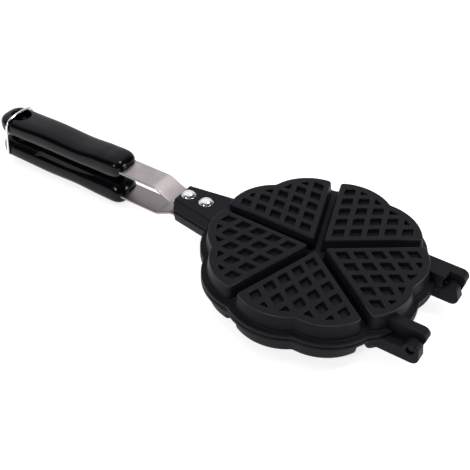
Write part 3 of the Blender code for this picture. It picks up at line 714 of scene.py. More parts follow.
def strap_finish(look):
    """Rolled steel strip: fine lines, a warm grey, a painted highlight over the outer bend, painted shade
    towards the tongue, and darker on its inner face.
    """
    finish = Finish("rolled_steel", metallic=1.0)
    past_bend = finish.axes(finish.stretched_place((1, 1, 1)))[0] - STRAP_BEND_X
    facing = finish.axes(finish.node("ShaderNodeTexCoord", output=1))[2]
    inside = finish.ranged(facing, *STRAP_INSIDE, 1.0, 0.0)
    # Painted highlight: lighter over the outer face just past the upper bend
    painted_bend_highlight = finish.ranged(past_bend, *PAINTED_BEND_HIGHLIGHT_FROM, 0.0, 1.0)
    painted_bend_highlight = painted_bend_highlight * finish.ranged(past_bend, *PAINTED_BEND_HIGHLIGHT_TO, 1.0, 0.0) * (1 - inside)
    # Painted shade: darker from the crank towards the tongue
    painted_tongue_shade = finish.ranged(past_bend, *PAINTED_TONGUE_SHADE_FROM, 0.0, 0.5)
    lines = finish.noise((12, 2600, 2600), detail=3, rough=0.7)
    cloud = finish.noise((90, 90, 90), detail=2)
    streaks = finish.ranged(lines * 0.5 + cloud * 0.5, *STRAP_STREAKS, 0.0, 1.0)
    colour = finish.shades(streaks, look.strap_colour, *STRAP_SHADES)
    # Painted highlight over the outer bend, painted shade towards the tongue, then a darker inner face
    for share, factor in ((painted_bend_highlight, PAINTED_BEND_HIGHLIGHT_FACTOR), (painted_tongue_shade, PAINTED_TONGUE_SHADE_FACTOR), (inside, INSIDE_SHADE)):
        colour = finish.mix(share, colour, shade(look.strap_colour, factor))
    roughness = look.strap_roughness + lines * 0.12 + cloud * 0.06
    return finish.done(colour, roughness, finish.bump(lines, LINE_HEIGHT))


def bright_finish(look):
    """Polished steel with faint smears and hairlines."""
    finish = Finish("bright_steel", metallic=1.0)
    smear = finish.noise((160, 160, 160), detail=3)
    hair = finish.noise((900, 900, 2400), detail=2, rough=0.7)
    colour = finish.shades(smear, look.bright_colour, *BRIGHT_SHADES)
    roughness = look.bright_roughness + smear * 0.08 + hair * 0.04
    return finish.done(colour, roughness, finish.bump(hair, HAIR_HEIGHT))


def dark_finish(look):
    """Dark steel, duller in the middle of its smears."""
    finish = Finish("dark_steel", metallic=1.0)
    smear = finish.noise((400, 400, 400), detail=3)
    hair = finish.noise((2400, 2400, 500), detail=2, rough=0.7)
    colour = finish.shades(smear, look.pin_colour, *PIN_SHADES)
    roughness = look.pin_roughness + smear * 0.15
    return finish.done(colour, roughness, finish.bump(hair, HAIR_HEIGHT))


# Plates

def rhombus(centre, side):
    """A pit's mouth, its sides along the two straight edges of the heart."""
    up, down = polar(side / 2, HALF_SHARE), polar(side / 2, -HALF_SHARE)
    return [centre - up - down, centre + down - up, centre + up + down, centre + up - down]


def clipped(polygon, middle, radius):
    """A convex polygon cut off where it leaves a circle."""
    points = []
    for k, here in enumerate(polygon):
        after = polygon[(k + 1) % len(polygon)]
        inside, next_inside = ((p - middle).length < radius for p in (here, after))
        if inside:
            points.append(here)
        if inside == next_inside:
            continue
        span = after - here
        half_b = (here - middle).dot(span)
        root = math.sqrt(half_b ** 2 - span.length_squared * ((here - middle).length_squared - radius ** 2))
        points.append(here + span * (-half_b + (root if inside else -root)) / span.length_squared)
    return points


def pit_outlines(side, lobe_radius):
    """Each pit's corners in the heart about +X."""
    across = PIT_PITCH * math.sin(HALF_SHARE)
    along = PIT_PITCH * math.cos(HALF_SHARE)
    for i in range(ROW_COUNT + 1):
        for j in range(ROW_COUNT + 1):
            cut = i + j == ROW_COUNT
            if i + j > ROW_COUNT or (cut and not (i and j)):
                continue
            centre = Vector((FIRST_PIT_RADIUS + (i + j) * along, (i - j) * across))
            outline = rhombus(centre, side)
            if cut:
                spread = LOBE_SPREAD if i > j else -LOBE_SPREAD
                outline = clipped(outline, polar(LOBE_CENTRE_RADIUS, spread), lobe_radius)
            yield outline


def add_pit(build, outline, look):
    """A pit's wall and floor. Returns its mouth."""
    soft = look.pit_round
    inner, floor = grown(outline, -PIT_DRAFT), PLATE_HEIGHT - PIT_DEPTH
    loops = [(grown(outline, out), PLATE_HEIGHT + up) for out, up in rounding(-soft, soft)]
    loops += [(grown(inner, out), floor + up) for out, up in fillet(-soft, soft, SMALL_STEPS)]
    rings = loft(build, [(rounded(loop, look.pit_corner), height) for loop, height in reversed(loops)])
    build.faces.new(rings[0])
    return rings[-1]


def floor_height(point):
    """Height of the web or flange under the foot of a heart's wall."""
    turns = [turn + side * LOBE_SPREAD for turn in HEART_TURNS for side in (-1, 1)]
    nearest = min((point - polar(LOBE_CENTRE_RADIUS, turn)).length for turn in turns)
    share = (LOBE_RADIUS + WALL_DRAFT - WEB_INSET - nearest) / WALL_DRAFT
    return FLANGE_THICKNESS + (GROOVE_FLOOR - FLANGE_THICKNESS) * eased(min(max(share, 0.0), 1.0))


def heart_shell(look):
    """One heart's top, pits and wall, down to the fillet at its foot."""
    build = bmesh.new()
    edge, soft = look.edge_round, look.foot_fillet
    pits = pit_outlines(PIT_SIDE, LOBE_RADIUS - CUT_PIT_MARGIN)
    mouths = [add_pit(build, outline, look) for outline in pits]
    loops = stepped(heart_outline, 0.0, PLATE_HEIGHT, rounding(edge, edge))
    feet = [floor_height(point) for point in heart_outline(WALL_DRAFT + soft)]
    for loop, up in stepped(heart_outline, WALL_DRAFT - WEB_INSET / 2, 0.0, fillet(soft, soft)):
        loops.append((loop, [foot + up for foot in feet]))
    sheet(build, loft(build, loops)[0], *mouths)
    return build


def add_web(build, look):
    """The web between the hearts: rounded edge, a fillet at its foot, and open over the cavities."""
    soft, inset = look.flange_round, WALL_DRAFT - WEB_INSET
    loops = stepped(wall_outline, inset, GROOVE_FLOOR, rounding(soft, soft))
    loops += stepped(wall_outline, inset, FLANGE_THICKNESS, fillet(soft, soft))
    edge, inside = loft(build, loops)[0], heart_outline(-SHEET_INSET)
    sheet(build, edge, *(ring(build, turned(inside, turn), GROOVE_FLOOR) for turn in HEART_TURNS))


def outer_face(look):
    """The plate's outside: flange, web and hearts."""
    build = bmesh.new()
    add_web(build, look)
    edge = look.flange_round
    loops = stepped(flange_outline, 0.0, FLANGE_THICKNESS, rounding(edge, edge))
    loops.append((flange_outline(), PARTING_HALF_GAP + look.parting_round))
    sheet(build, loft(build, loops)[0], ring(build, wall_outline(), FLANGE_THICKNESS))
    heart = heart_shell(look)
    shape = bpy.data.meshes.new("heart")
    heart.to_mesh(shape)
    heart.free()
    for turn in HEART_TURNS:
        first = len(build.verts)
        build.from_mesh(shape)
        build.verts.ensure_lookup_table()
        bmesh.ops.rotate(build, verts=build.verts[first:], matrix=Matrix.Rotation(turn, 3, "Z"))
    bpy.data.meshes.remove(shape)
    return build


def inner_face(look):
    """The plate's baking side, made face up: rim, ridges, heart cavities and pegs."""
    build = bmesh.new()
    edge, soft, foot = look.parting_round, look.pit_round, look.foot_fillet
    low, crest, ceiling = -PARTING_HALF_GAP, -RIDGE_CREST, CEILING - PLATE_HEIGHT
    outer = loft(build, stepped(flange_outline, 0.0, low, rounding(edge, edge)))
    loops = stepped(wall_outline, RIM_WIDTH - WALL, low, rounding(-soft, soft))
    loops.append((wall_outline(RIM_WIDTH - WALL), crest))
    rim = loft(build, reversed(loops))
    sheet(build, outer[0], rim[-1])
    walls = stepped(heart_outline, WALL_DRAFT - WALL, crest, rounding(-soft, soft, SMALL_STEPS))
    walls += stepped(heart_outline, -WALL, ceiling, fillet(-foot, foot, SMALL_STEPS))
    mouths = []
    for turn in HEART_TURNS:
        rings = loft(build, [(turned(loop, turn), height) for loop, height in reversed(walls)])
        sheet(build, rings[0])
        mouths.append(rings[-1])
        for outline in pit_outlines(PIT_SIDE - 2 * PIT_DRAFT + 2 * PEG_WALL, LOBE_RADIUS - WALL / 2):
            add_peg(build, outline, ceiling, turn, look)
    sheet(build, rim[0], *mouths)
    facing_down(build)
    return build


def add_peg(build, outline, foot, turn, look):
    """A peg standing on the floor of a cavity."""
    soft, corner = look.pit_round, look.pit_corner
    top = grown(outline, -PEG_DRAFT)
    loops = [(grown(top, out), foot + PEG_DEPTH + up) for out, up in rounding(soft, soft, SMALL_STEPS)]
    loops += [(grown(outline, out), foot + up) for out, up in fillet(soft, soft, SMALL_STEPS)]
    loops = [(turned(rounded(loop, corner, SMALL_STEPS), turn), height) for loop, height in loops]
    build.faces.new(loft(build, loops)[0])


def tongue_width(x):
    """Width over the top of the tongue at a distance from the middle of the pan."""
    share = (x - TONGUE_ROOT) / (TONGUE_END - TONGUE_ROOT)
    return TONGUE_ROOT_WIDTH + (TONGUE_END_WIDTH - TONGUE_ROOT_WIDTH) * share


def tongue_outline(width, height, low):
    """A cross-section of the tongue, wider at the parting plane, with sharp corners."""
    lean = TONGUE_DRAFT / TONGUE_HEIGHT
    foot = width / 2 + lean * (TONGUE_HEIGHT - low)
    top = width / 2 + lean * (TONGUE_HEIGHT - height)
    return [Vector((-foot, low)), Vector((foot, low)), Vector((top, height)), Vector((-top, height))]


def tongue_body(look):
    """The tongue with its rounded edges and the channel under it."""
    edge = look.edge_round
    end = edge * TONGUE_END_ROUND_SHARE
    stations = [(TONGUE_END + up, out) for out, up in rounding(end, end)] + [(CHANNEL_END, 0.0)]
    channelled = []
    for x, offset in stations:
        shell = grown(tongue_outline(tongue_width(x), TONGUE_HEIGHT, PARTING_HALF_GAP), offset)
        shell = rounded(shell, edge, SMALL_STEPS)
        width = tongue_width(x) - 2 * TONGUE_SIDE + TONGUE_DRAFT
        hollow = tongue_outline(width, TONGUE_HEIGHT - TONGUE_ROOF, shell[0].y)
        split = next(k for k, p in enumerate(shell) if p.x > 0)
        outline = shell[split:] + shell[:split] + [hollow[0], hollow[3], hollow[2], hollow[1]]
        channelled.append([Vector((-x, p.x, p.y)) for p in outline])
    solid = []
    rim = LOBE_REACH + RIM_WIDTH / 2
    places = [(CHANNEL_END, PARTING_HALF_GAP), (rim + edge * TONGUE_STEP_SHARE, PARTING_HALF_GAP),
              (rim, ROOT_LOW), (TONGUE_ROOT, ROOT_LOW)]
    for x, low in places:
        outline = rounded(tongue_outline(tongue_width(x), TONGUE_HEIGHT, low), edge, SMALL_STEPS)
        solid.append([Vector((-x, p.x, p.y)) for p in outline])
    return sweep(channelled), sweep(solid)


def root_place(side):
    """Where a lug's root ends in the lobe's wall, at a distance from the long axis."""
    centre = polar(LOBE_CENTRE_RADIUS, LOBE_SPREAD)
    return centre.x + math.sqrt(ROOT_RADIUS ** 2 - (side - centre.y) ** 2)


def root_points(low):
    """The underside of a root, which steps up inside the rim. Its end is at zero."""
    return [Vector((0, ROOT_LOW)), Vector((ROOT_STEP, ROOT_LOW)), Vector((ROOT_STEP, low))]


def rooted(point, side):
    """A profile's point moved along with the root's end."""
    return point.x + (root_place(side) if point.x < ROOT_STEP + KNUCKLE_RADIUS else 0.0)


def arm_profile(knuckle):
    """A lug's arm from the side: flat top, round end, knuckle round the pin."""
    start = math.pi - math.asin(PARTING_HALF_GAP / knuckle)
    end = PIN_X + KNUCKLE_RADIUS + LUG_OVERHANG - LUG_END_ROUND
    points = root_points(PARTING_HALF_GAP)
    points += arc((PIN_X, 0), knuckle, start, math.tau, KNUCKLE_STEPS)
    points += arc((end, LUG_HEIGHT - LUG_END_ROUND), LUG_END_ROUND, 0, math.pi / 2, LUG_END_STEPS)
    points.append(Vector((0, LUG_HEIGHT)))
    return points


def arm_body(knuckle, low, high, blind, look):
    """One arm of a hinge lug, with its bore, which may be blind at the high end."""
    edge, close = look.lug_round, look.lug_round / 4
    profile = arm_profile(knuckle)
    bore = circle(PIN_RADIUS + FIT, TURN_SIDES, (PIN_X, 0))
    build = bmesh.new()

    def rings(loop, out, height, down):
        """Rings over a rounded edge of the arm or its bore."""
        steps = rounding(out, down, SMALL_STEPS)
        return [ring(build, grown(loop, offset), height + up) for offset, up in steps]

    outer, lower_outer = rings(profile, edge, high, edge), rings(profile, close, low, -close)
    lower_inner = rings(bore, -close, low, -close)
    if blind:
        inner = [ring(build, bore, high - BORE_SKIN)]
        build.faces.new(inner[0])
        sheet(build, outer[0])
    else:
        inner = rings(bore, -edge / 2, high, edge / 2)
        sheet(build, outer[0], inner[0])
    sheet(build, lower_outer[0], lower_inner[0])
    skin(build, outer + list(reversed(lower_outer)))
    skin(build, lower_inner + list(reversed(inner)))
    for vertex in build.verts:
        x, height, y = vertex.co
        vertex.co = (rooted(Vector((x, height)), abs(y)), y, height)
    bmesh.ops.recalc_face_normals(build, faces=build.faces)
    return build


def notch_wall(low, high, corner):
    """The root's end from the side, hollowed for the other plate's arm when that lies open."""
    lean = math.atan2(LUG_OVERHANG, LUG_HEIGHT - LUG_END_ROUND)
    foot = NOTCH_X - (corner + math.sin(lean) * (low + corner)) / math.cos(lean)
    hollow = Vector((NOTCH_X - LUG_OVERHANG + LUG_END_ROUND + NOTCH_GAP, LUG_HEIGHT - LUG_END_ROUND))
    radius = LUG_END_ROUND + NOTCH_GAP
    rise = high - corner - hollow.y
    back = math.sqrt((radius + corner) ** 2 - rise ** 2)
    turn = math.atan2(rise, -back)
    top = (hollow.x - back, high - corner)
    points = arc((foot, low + corner), corner, -math.pi / 2, lean, EDGE_STEPS)
    points += arc(hollow, radius, math.pi, turn, NOTCH_STEPS)
    return points + arc(top, corner, turn - math.pi, math.pi / 2, NOTCH_STEPS)[1:]


def lug_root_body(look):
    """The root of the wide lug, from its inner side into the arm."""
    edge = look.lug_round
    low, high = PARTING_HALF_GAP + edge * LUG_NUDGE_SHARE, LUG_HEIGHT - edge * LUG_NUDGE_SHARE
    profile = root_points(low) + notch_wall(low, high, edge * NOTCH_CORNER_SHARE) + [Vector((0, high))]
    places = [(LUG_INNER + up, out) for out, up in rounding(edge, -edge, SMALL_STEPS)]
    places.append(((LUG_SPLIT + LUG_OUTER) / 2, 0.0))
    sections = []
    for side, out in places:
        sections.append([Vector((rooted(p, side), side, p.y)) for p in grown(profile, out)])
    return sweep(sections)


def plate_mesh(look):
    """One cast plate, upper way up."""
    arms = [arm_body(OUTER_KNUCKLE_RADIUS, LUG_SPLIT + ARM_GAP / 2, LUG_OUTER, False, look),
            arm_body(KNUCKLE_RADIUS, ARM_GAP / 2 - LUG_SPLIT, -LUG_INNER, True, look)]
    return merged(outer_face(look), inner_face(look), *tongue_body(look), *arms, lug_root_body(look))


# Straps, rivets, screws and pins

def strap_mesh(look):
    """A strap with rounded edges, cranked between tongue and handle."""
    slope = math.atan2(STRAP_RISE - TANG_MIDDLE, STRAP_CRANK_RUN)
    low = (STRAP_BEND_X + STRAP_CRANK_RUN, TANG_MIDDLE + STRAP_BEND)
    high = (STRAP_BEND_X, STRAP_RISE - STRAP_BEND)
    path = [Vector((-(CHANNEL_END + TANG_INSET), TANG_MIDDLE)), Vector((-TONGUE_END, TANG_MIDDLE))]
    widths = [TANG_WIDTH, TANG_WIDTH]
    shoulder = (STRAP_WIDTH - TANG_WIDTH) / 2
    for p in arc((0, 0), shoulder, math.pi, math.pi / 2, ROUND_STEPS):
        path.append(Vector((-TONGUE_END - FIT - (p.x + shoulder) * SHOULDER_SHARE, TANG_MIDDLE)))
        widths.append(TANG_WIDTH + 2 * p.y)
    bends = arc(low, STRAP_BEND, -math.pi / 2, -math.pi / 2 - slope, BEND_STEPS)
    bends += arc(high, STRAP_BEND, math.pi / 2 - slope, math.pi / 2, BEND_STEPS)
    bends = [p for p in bends if p.x < path[-1].x]
    bends.append(Vector((-(HANDLE_NOSE + STRAP_IN_HANDLE), STRAP_RISE)))
    path += bends
    widths += [STRAP_WIDTH] * len(bends)
    sections = []
    for k, here in enumerate(path):
        run = heading(path, k)
        up = Vector((-run.y, run.x))
        half, thick = widths[k] / 2, STRAP_THICKNESS / 2
        corners = ((-half, -thick), (half, -thick), (half, thick), (-half, thick))
        loop = rounded([Vector(corner) for corner in corners], look.strap_edge, SMALL_STEPS)
        sections.append([Vector((here.x + up.x * p.y, p.x, here.y + up.y * p.y)) for p in loop])
    return merged(sweep(sections))


def rivet_mesh():
    """A domed rivet about its own axis, zero at the tongue's top."""
    dome = (RIVET_HEAD_RADIUS ** 2 + RIVET_HEAD_HEIGHT ** 2) / (2 * RIVET_HEAD_HEIGHT)
    spread = math.asin(RIVET_HEAD_RADIUS / dome)
    profile = [(0, RIVET_HEAD_HEIGHT)]
    for step in range(1, DOME_STEPS + 1):
        angle = spread * step / DOME_STEPS * RIVET_DOME_SHARE
        profile.append((dome * math.sin(angle), RIVET_HEAD_HEIGHT - dome + dome * math.cos(angle)))
    tail = TANG_MIDDLE - STRAP_THICKNESS / 2 - TONGUE_HEIGHT
    profile += [(RIVET_HEAD_RADIUS, RIVET_LIP), (RIVET_HEAD_RADIUS, 0)]
    profile += [(RIVET_SHANK_RADIUS, 0), (RIVET_SHANK_RADIUS, tail)]
    for sine, cosine in quarter(2 * SMALL_STEPS):
        profile.append((RIVET_TAIL_RADIUS * cosine, tail - RIVET_TAIL_HEIGHT * sine))
    profile[-1] = (0, tail - RIVET_TAIL_HEIGHT)
    return lathe(profile)


def screw_mesh():
    """A pan-head screw with a crossed recess, head towards the parting plane."""
    head = PARTING_HALF_GAP + SCREW_SINK
    seat = head + SCREW_HEAD_HEIGHT
    build = bmesh.new()
    profile = [(SCREW_HEAD_RADIUS * out, head + SCREW_HEAD_HEIGHT * up) for out, up in SCREW_HEAD_SHARES]
    profile += [(SCREW_HEAD_RADIUS, seat), (SCREW_RADIUS, seat)]
    profile += [(SCREW_RADIUS, SCREW_DEPTH - SCREW_RADIUS / 2), (SCREW_RADIUS / 2, SCREW_DEPTH)]
    rings = loft(build, [(circle(radius, TURN_SIDES), -height) for radius, height in profile])
    build.faces.new(list(reversed(rings[-1])))
    arm, wide = SCREW_HEAD_RADIUS * CROSS_ARM_SHARE, SCREW_HEAD_RADIUS * CROSS_WIDTH_SHARE
    cross = []
    for turn in range(4):
        cross += turned([Vector(p) for p in ((wide, -wide), (arm, -wide), (arm, wide))], turn * math.pi / 2)
    depth = head + SCREW_HEAD_HEIGHT * CROSS_DEPTH_SHARE
    floor, mouth = loft(build, [([p * CROSS_TAPER_SHARE for p in cross], -depth), (cross, -head)])
    build.faces.new(floor)
    sheet(build, rings[0], mouth)
    facing_down(build)
    return merged(build)


def pin_mesh():
    """A hinge pin across both arms of a lug, its ends slightly domed, about the middle of the lug."""
    half = (LUG_OUTER - PIN_RECESS - LUG_INNER - FIT) / 2
    edge = PIN_RADIUS * PIN_EDGE_SHARE
    rim = half - edge * PIN_CROWN_SHARE
    profile = [(0, half)] + [(PIN_RADIUS + out, rim + up) for out, up in rounding(edge, edge, EDGE_STEPS)]
    profile += [(radius, -height) for radius, height in reversed(profile)]
    return lathe(profile)


# Handles

def share_at(place, shares):
    """A share along the handle, read smoothly between its stations."""
    for k in range(len(HANDLE_PLACE_SHARES) - 1):
        start, end = HANDLE_PLACE_SHARES[k:k + 2]
        if place <= end:
            return shares[k] + (shares[k + 1] - shares[k]) * eased((place - start) / (end - start))
    return shares[-1]


def end_share(distance, length, power=END_POWER):
    """How far a rounded end has filled out at a distance from its tip."""
    if distance >= length:
        return 1.0
    return (1 - (1 - max(distance, 0.0) / length) ** power) ** (1 / power)


def handle_size(distance):
    """Half width, depth below and height above the widest level at a distance from the nose."""
    place = min(max(distance / HANDLE_LENGTH, 0.0), 1.0)
    nose = end_share(distance, NOSE_LENGTH, NOSE_POWER)
    tail = end_share(HANDLE_LENGTH - distance, TAIL_LENGTH)
    width = HANDLE_WIDTH / 2 * share_at(place, HANDLE_WIDTH_SHARES) * nose * tail
    fill = min(end_share(distance, NOSE_DEPTH), end_share(HANDLE_LENGTH - distance, TAIL_DEPTH))
    thickness = HANDLE_THICKNESS * share_at(place, HANDLE_THICKNESS_SHARES) * fill
    return width, thickness * WIDEST_SHARE, thickness * (1 - WIDEST_SHARE)


def handle_middle(distance):
    """Height of the section's widest level: the inner side keeps to the parting plane."""
    place = min(max(distance / HANDLE_LENGTH, 0.0), 1.0)
    return PARTING_HALF_GAP + HANDLE_THICKNESS * share_at(place, HANDLE_THICKNESS_SHARES) * WIDEST_SHARE


def handle_section(distance):
    """A rounded section across the handle."""
    half_width, below, above = handle_size(distance)
    middle = handle_middle(distance)
    points = []
    for side in range(HANDLE_SIDES):
        angle = math.tau * (side + 0.5) / HANDLE_SIDES
        power, height = (2 / OUTER_SQUARENESS, above) if angle < math.pi else (2 / INNER_SQUARENESS, below)
        y = math.copysign(abs(math.cos(angle)) ** power, math.cos(angle)) * half_width
        z = math.copysign(abs(math.sin(angle)) ** power, math.sin(angle)) * height
        points.append(Vector((-(HANDLE_NOSE + distance), y, middle + z)))
    return points


def handle_field(point):
    """Below one inside the handle and above one outside it."""
    distance = -point.x - HANDLE_NOSE
    half_width, below, above = handle_size(distance)
    rise = point.z - handle_middle(distance)
    power, height = (OUTER_SQUARENESS, above) if rise > 0 else (INNER_SQUARENESS, below)
    return (abs(point.y) / max(half_width, TINY)) ** power + (abs(rise) / max(height, TINY)) ** power


def handle_normal(point):
    """Direction straight out of the handle's skin at a point on it."""
    slope = Vector((0, 0, 0))
    for axis in range(3):
        step = Vector((0, 0, 0))
        step[axis] = NUDGE
        slope[axis] = handle_field(point + step) - handle_field(point - step)
    return slope.normalized()


def hole_cutter(soft):
    """A flared spool that cuts the hanging hole and rounds both its rims."""
    distance = -HOLE_X - HANDLE_NOSE
    top, bottom = handle_middle(distance) + handle_size(distance)[2], PARTING_HALF_GAP
    flare = HOLE_RADIUS + soft * 3
    profile = [(0, top + soft), (flare, top + soft)]
    profile += [(HOLE_RADIUS + out, top + up) for out, up in rounding(-soft, soft, HOLE_STEPS)]
    lower = reversed(rounding(-soft, -soft, HOLE_STEPS))
    profile += [(HOLE_RADIUS + out, bottom + up) for out, up in lower]
    mesh = lathe(profile + [(flare, bottom - soft), (0, bottom - soft)], HOLE_SIDES)
    mesh.transform(Matrix.Translation((HOLE_X, 0, 0)))
    return mesh


def recess_cutter():
    """Cuts the finger recess: a leaning wall that grows from nothing and ends in a round."""
    clear, low = HANDLE_WIDTH, -PARTING_HALF_GAP
    length = RECESS_END - RECESS_END_ROUND - RECESS_START
    shares = [(step / RECESS_STEPS) ** 2 for step in range(RECESS_STEPS + 1)]
    stations = [(RECESS_START + length * share, 0.0) for share in shares]
    turn = rounding(RECESS_END_ROUND, -RECESS_END_ROUND, RECESS_STEPS // 3)[1:]
    stations += [(RECESS_END + out, up) for out, up in turn]
    sections = []
    for distance, aside in stations:
        x, wall = -(HANDLE_NOSE + distance), RECESS_FROM_MIDDLE + aside
        depth = RECESS_DEPTH * end_share(distance - RECESS_START, RECESS_GROWTH, RECESS_POWER) - low
        sections.append([Vector((x, wall + RECESS_DRAFT * low, low)), Vector((x, clear, low)),
                         Vector((x, clear, depth)), Vector((x, wall + RECESS_DRAFT * depth, depth))])
    return merged(sweep(sections))


def in_recess(point):
    """Whether a point under the handle's skin belongs to the finger recess."""
    distance = -point.x - HANDLE_NOSE
    beside = RECESS_START < distance < RECESS_END and point.y > RECESS_FROM_MIDDLE / 2
    within = point.z < RECESS_DEPTH + 2 * PARTING_HALF_GAP
    return beside and within and handle_field(point) < SKIN_SHARE


def in_hole(point, look):
    """Whether a point under the handle's skin belongs to the hanging hole."""
    from_hole = Vector((point.x - HOLE_X, point.y)).length
    return from_hole < HOLE_RADIUS + look.hole_round and handle_field(point) < SKIN_SHARE


def handle_blank():
    """A whole handle, before its hole and recess are cut."""
    quarters = [(step + FIRST_END_STEP) / HANDLE_END_STEPS for step in range(HANDLE_END_STEPS)]
    steps = [1 - math.cos(share * math.pi / 2) for share in quarters]
    span = HANDLE_LENGTH - NOSE_LENGTH - TAIL_LENGTH
    stations = [NOSE_LENGTH * step for step in steps]
    stations += [NOSE_LENGTH + span * step / HANDLE_STEPS for step in range(HANDLE_STEPS + 1)]
    stations += [HANDLE_LENGTH - TAIL_LENGTH * step for step in reversed(steps)]
    return merged(sweep([handle_section(distance) for distance in stations]))


def cut_away(mesh, tools):
    """A mesh with the tools' meshes cut out of it."""
    items = [bpy.data.objects.new("cutting", each) for each in (mesh, *tools)]
    for item in items:
        bpy.context.scene.collection.objects.link(item)
    for tool in items[1:]:
        cut = items[0].modifiers.new(tool.name, "BOOLEAN")
        cut.operation = "DIFFERENCE"
        cut.solver = "EXACT"
        cut.object = tool
    bpy.context.view_layer.update()
    shape = items[0].evaluated_get(bpy.context.evaluated_depsgraph_get())
    made = bpy.data.meshes.new_from_object(shape)
    for item in items:
        bpy.data.objects.remove(item, do_unlink=True)
    return made


def handle_mesh(look):
    """A handle with its hanging hole and recess, and normals taken from its true shape."""
    mesh = cut_away(handle_blank(), [hole_cutter(look.hole_round), recess_cutter()])
    mesh.shade_smooth()
    mesh.set_sharp_from_angle(angle=HANDLE_SHARP_ANGLE)
    normals = [Vector(corner.normal) for corner in mesh.loops]
    for face in mesh.polygons:
        if in_hole(face.center, look) or in_recess(face.center):
            continue
        for corner in face.loop_indices:
            normals[corner] = handle_normal(mesh.vertices[mesh.loops[corner].vertex_index].co)
    mesh.normals_split_custom_set(normals)
    return mesh


# Bail

def tail_top():
    """Height of the handle's outer face above the parting plane where the bail crosses it."""
    distance = HANDLE_LENGTH - BAIL_INSET
    return handle_middle(distance) + handle_size(distance)[2]


def bail_mesh():
    """The bail about its pivot: a hoop of round wire with its two feet bent inwards."""
    side, _, above = handle_size(HANDLE_LENGTH - BAIL_INSET)
    half = side + BAIL_SIDE_GAP + BAIL_WIRE_RADIUS
    top = 2 * tail_top() - BAIL_PIVOT_COVER + BAIL_TOP_GAP + BAIL_WIRE_RADIUS
    shoulder = above + BAIL_TOP_GAP + BAIL_WIRE_RADIUS
    power = 2 / OUTER_SQUARENESS
    foot_middle = (half - BAIL_FOOT_CORNER, BAIL_FOOT_CORNER)
    right = [Vector((side - BAIL_HOLE_DEPTH + FIT, 0))]
    right += arc(foot_middle, BAIL_FOOT_CORNER, -math.pi / 2, 0, FOOT_STEPS)
    for sine, cosine in quarter(SHOULDER_STEPS):
        right.append(Vector((half * cosine ** power, top - shoulder + shoulder * sine ** power)))
    path = right + [Vector((-p.x, p.y)) for p in reversed(right)]
    sections = []
    for k, here in enumerate(path):
        run = heading(path, k)
        out = Vector((run.y, -run.x))
        section = []
        for p in circle(BAIL_WIRE_RADIUS, WIRE_SIDES):
            flat = here + out * p.x
            section.append(Vector((p.y, flat.x, flat.y)))
        sections.append(section)
    mesh = merged(sweep(sections))
    mesh.transform(Matrix.Rotation(BAIL_LEAN, 4, "Y"))
    return mesh


# Floor, lights, room and camera

def direction(azimuth, elevation):
    """The way to a place at an azimuth and elevation in degrees. Azimuth zero is -Y and 90 is +X."""
    turn, rise = math.radians(azimuth), math.radians(elevation)
    return Vector((math.sin(turn) * math.cos(rise), -math.cos(turn) * math.cos(rise), math.sin(rise)))


def add_floor(look):
    """A pale floor with a faint glow, as on a lit table."""
    build = bmesh.new()
    half = look.floor_side / 2
    corners = ((-half, -half), (half, -half), (half, half), (-half, half))
    build.faces.new([build.verts.new((x, y, 0)) for x, y in corners])
    floor = bpy.data.objects.new("floor", merged(build))
    bpy.context.scene.collection.objects.link(floor)
    paint = Finish("floor_paint", metallic=0.0, specular=0.2)
    cloud = paint.noise((2, 2, 2))
    colour = paint.shades(cloud, look.floor_colour, *FLOOR_SHADES)
    paint.shader.inputs["Emission Color"].default_value = (1.0, 1.0, 1.0, 1.0)
    paint.shader.inputs["Emission Strength"].default_value = look.floor_glow
    floor.data.materials.append(paint.done(colour, FLOOR_ROUGHNESS, paint.bump(cloud, FLOOR_UNEVENNESS)))


def add_area_light(name, power, side, azimuth, elevation, distance):
    """A square light that looks at the pan."""
    data = bpy.data.lights.new(name, "AREA")
    data.energy = power
    data.size = side
    lamp = bpy.data.objects.new(name, data)
    way = direction(azimuth, elevation)
    lamp.location = PAN_MIDDLE + way * distance
    lamp.rotation_mode = "QUATERNION"
    lamp.rotation_quaternion = way.to_track_quat("Z", "Y")
    bpy.context.scene.collection.objects.link(lamp)


def add_room(look):
    """A pale wall behind the handles that fades into a dark room."""
    world = bpy.data.worlds.new("studio_room")
    world.use_nodes = True
    room = Nodes(world.node_tree)
    x, y, z = room.axes(room.node("ShaderNodeTexCoord"))
    far = room.ranged(y, *ROOM_FAR, 0.0, 1.0)
    left = room.ranged(x, *ROOM_LEFT, 1.0, 0.0)
    high = room.ranged(z, *ROOM_HIGH, 0.5, 1.0)
    background = world.node_tree.nodes["Background"]
    background.inputs["Color"].default_value = ROOM_COLOUR
    room.put(background.inputs["Strength"], look.room_strength + look.wall_strength * (far * left * high))
    bpy.context.scene.world = world


def add_camera():
    """A camera where the photograph was taken from, with its slight roll."""
    back = direction(CAMERA_AZIMUTH, CAMERA_ELEVATION)
    right = Vector((0, 0, 1)).cross(back).normalized()
    up = back.cross(right)
    cosine, sine = math.cos(CAMERA_ROLL), math.sin(CAMERA_ROLL)
    columns = (right * cosine + up * sine, up * cosine - right * sine, back)
    turn = Matrix([list(row) for row in zip(*columns)])
    data = bpy.data.cameras.new("photo_camera")
    data.sensor_width = SENSOR_WIDTH
    data.lens = CAMERA_FOCUS / IMAGE_SIDE * data.sensor_width
    camera = bpy.data.objects.new("photo_camera", data)
    camera.matrix_world = Matrix.Translation(PAN_MIDDLE + CAMERA_FROM_PAN) @ turn.to_4x4()
    bpy.context.scene.collection.objects.link(camera)
    bpy.context.scene.camera = camera


# Properties

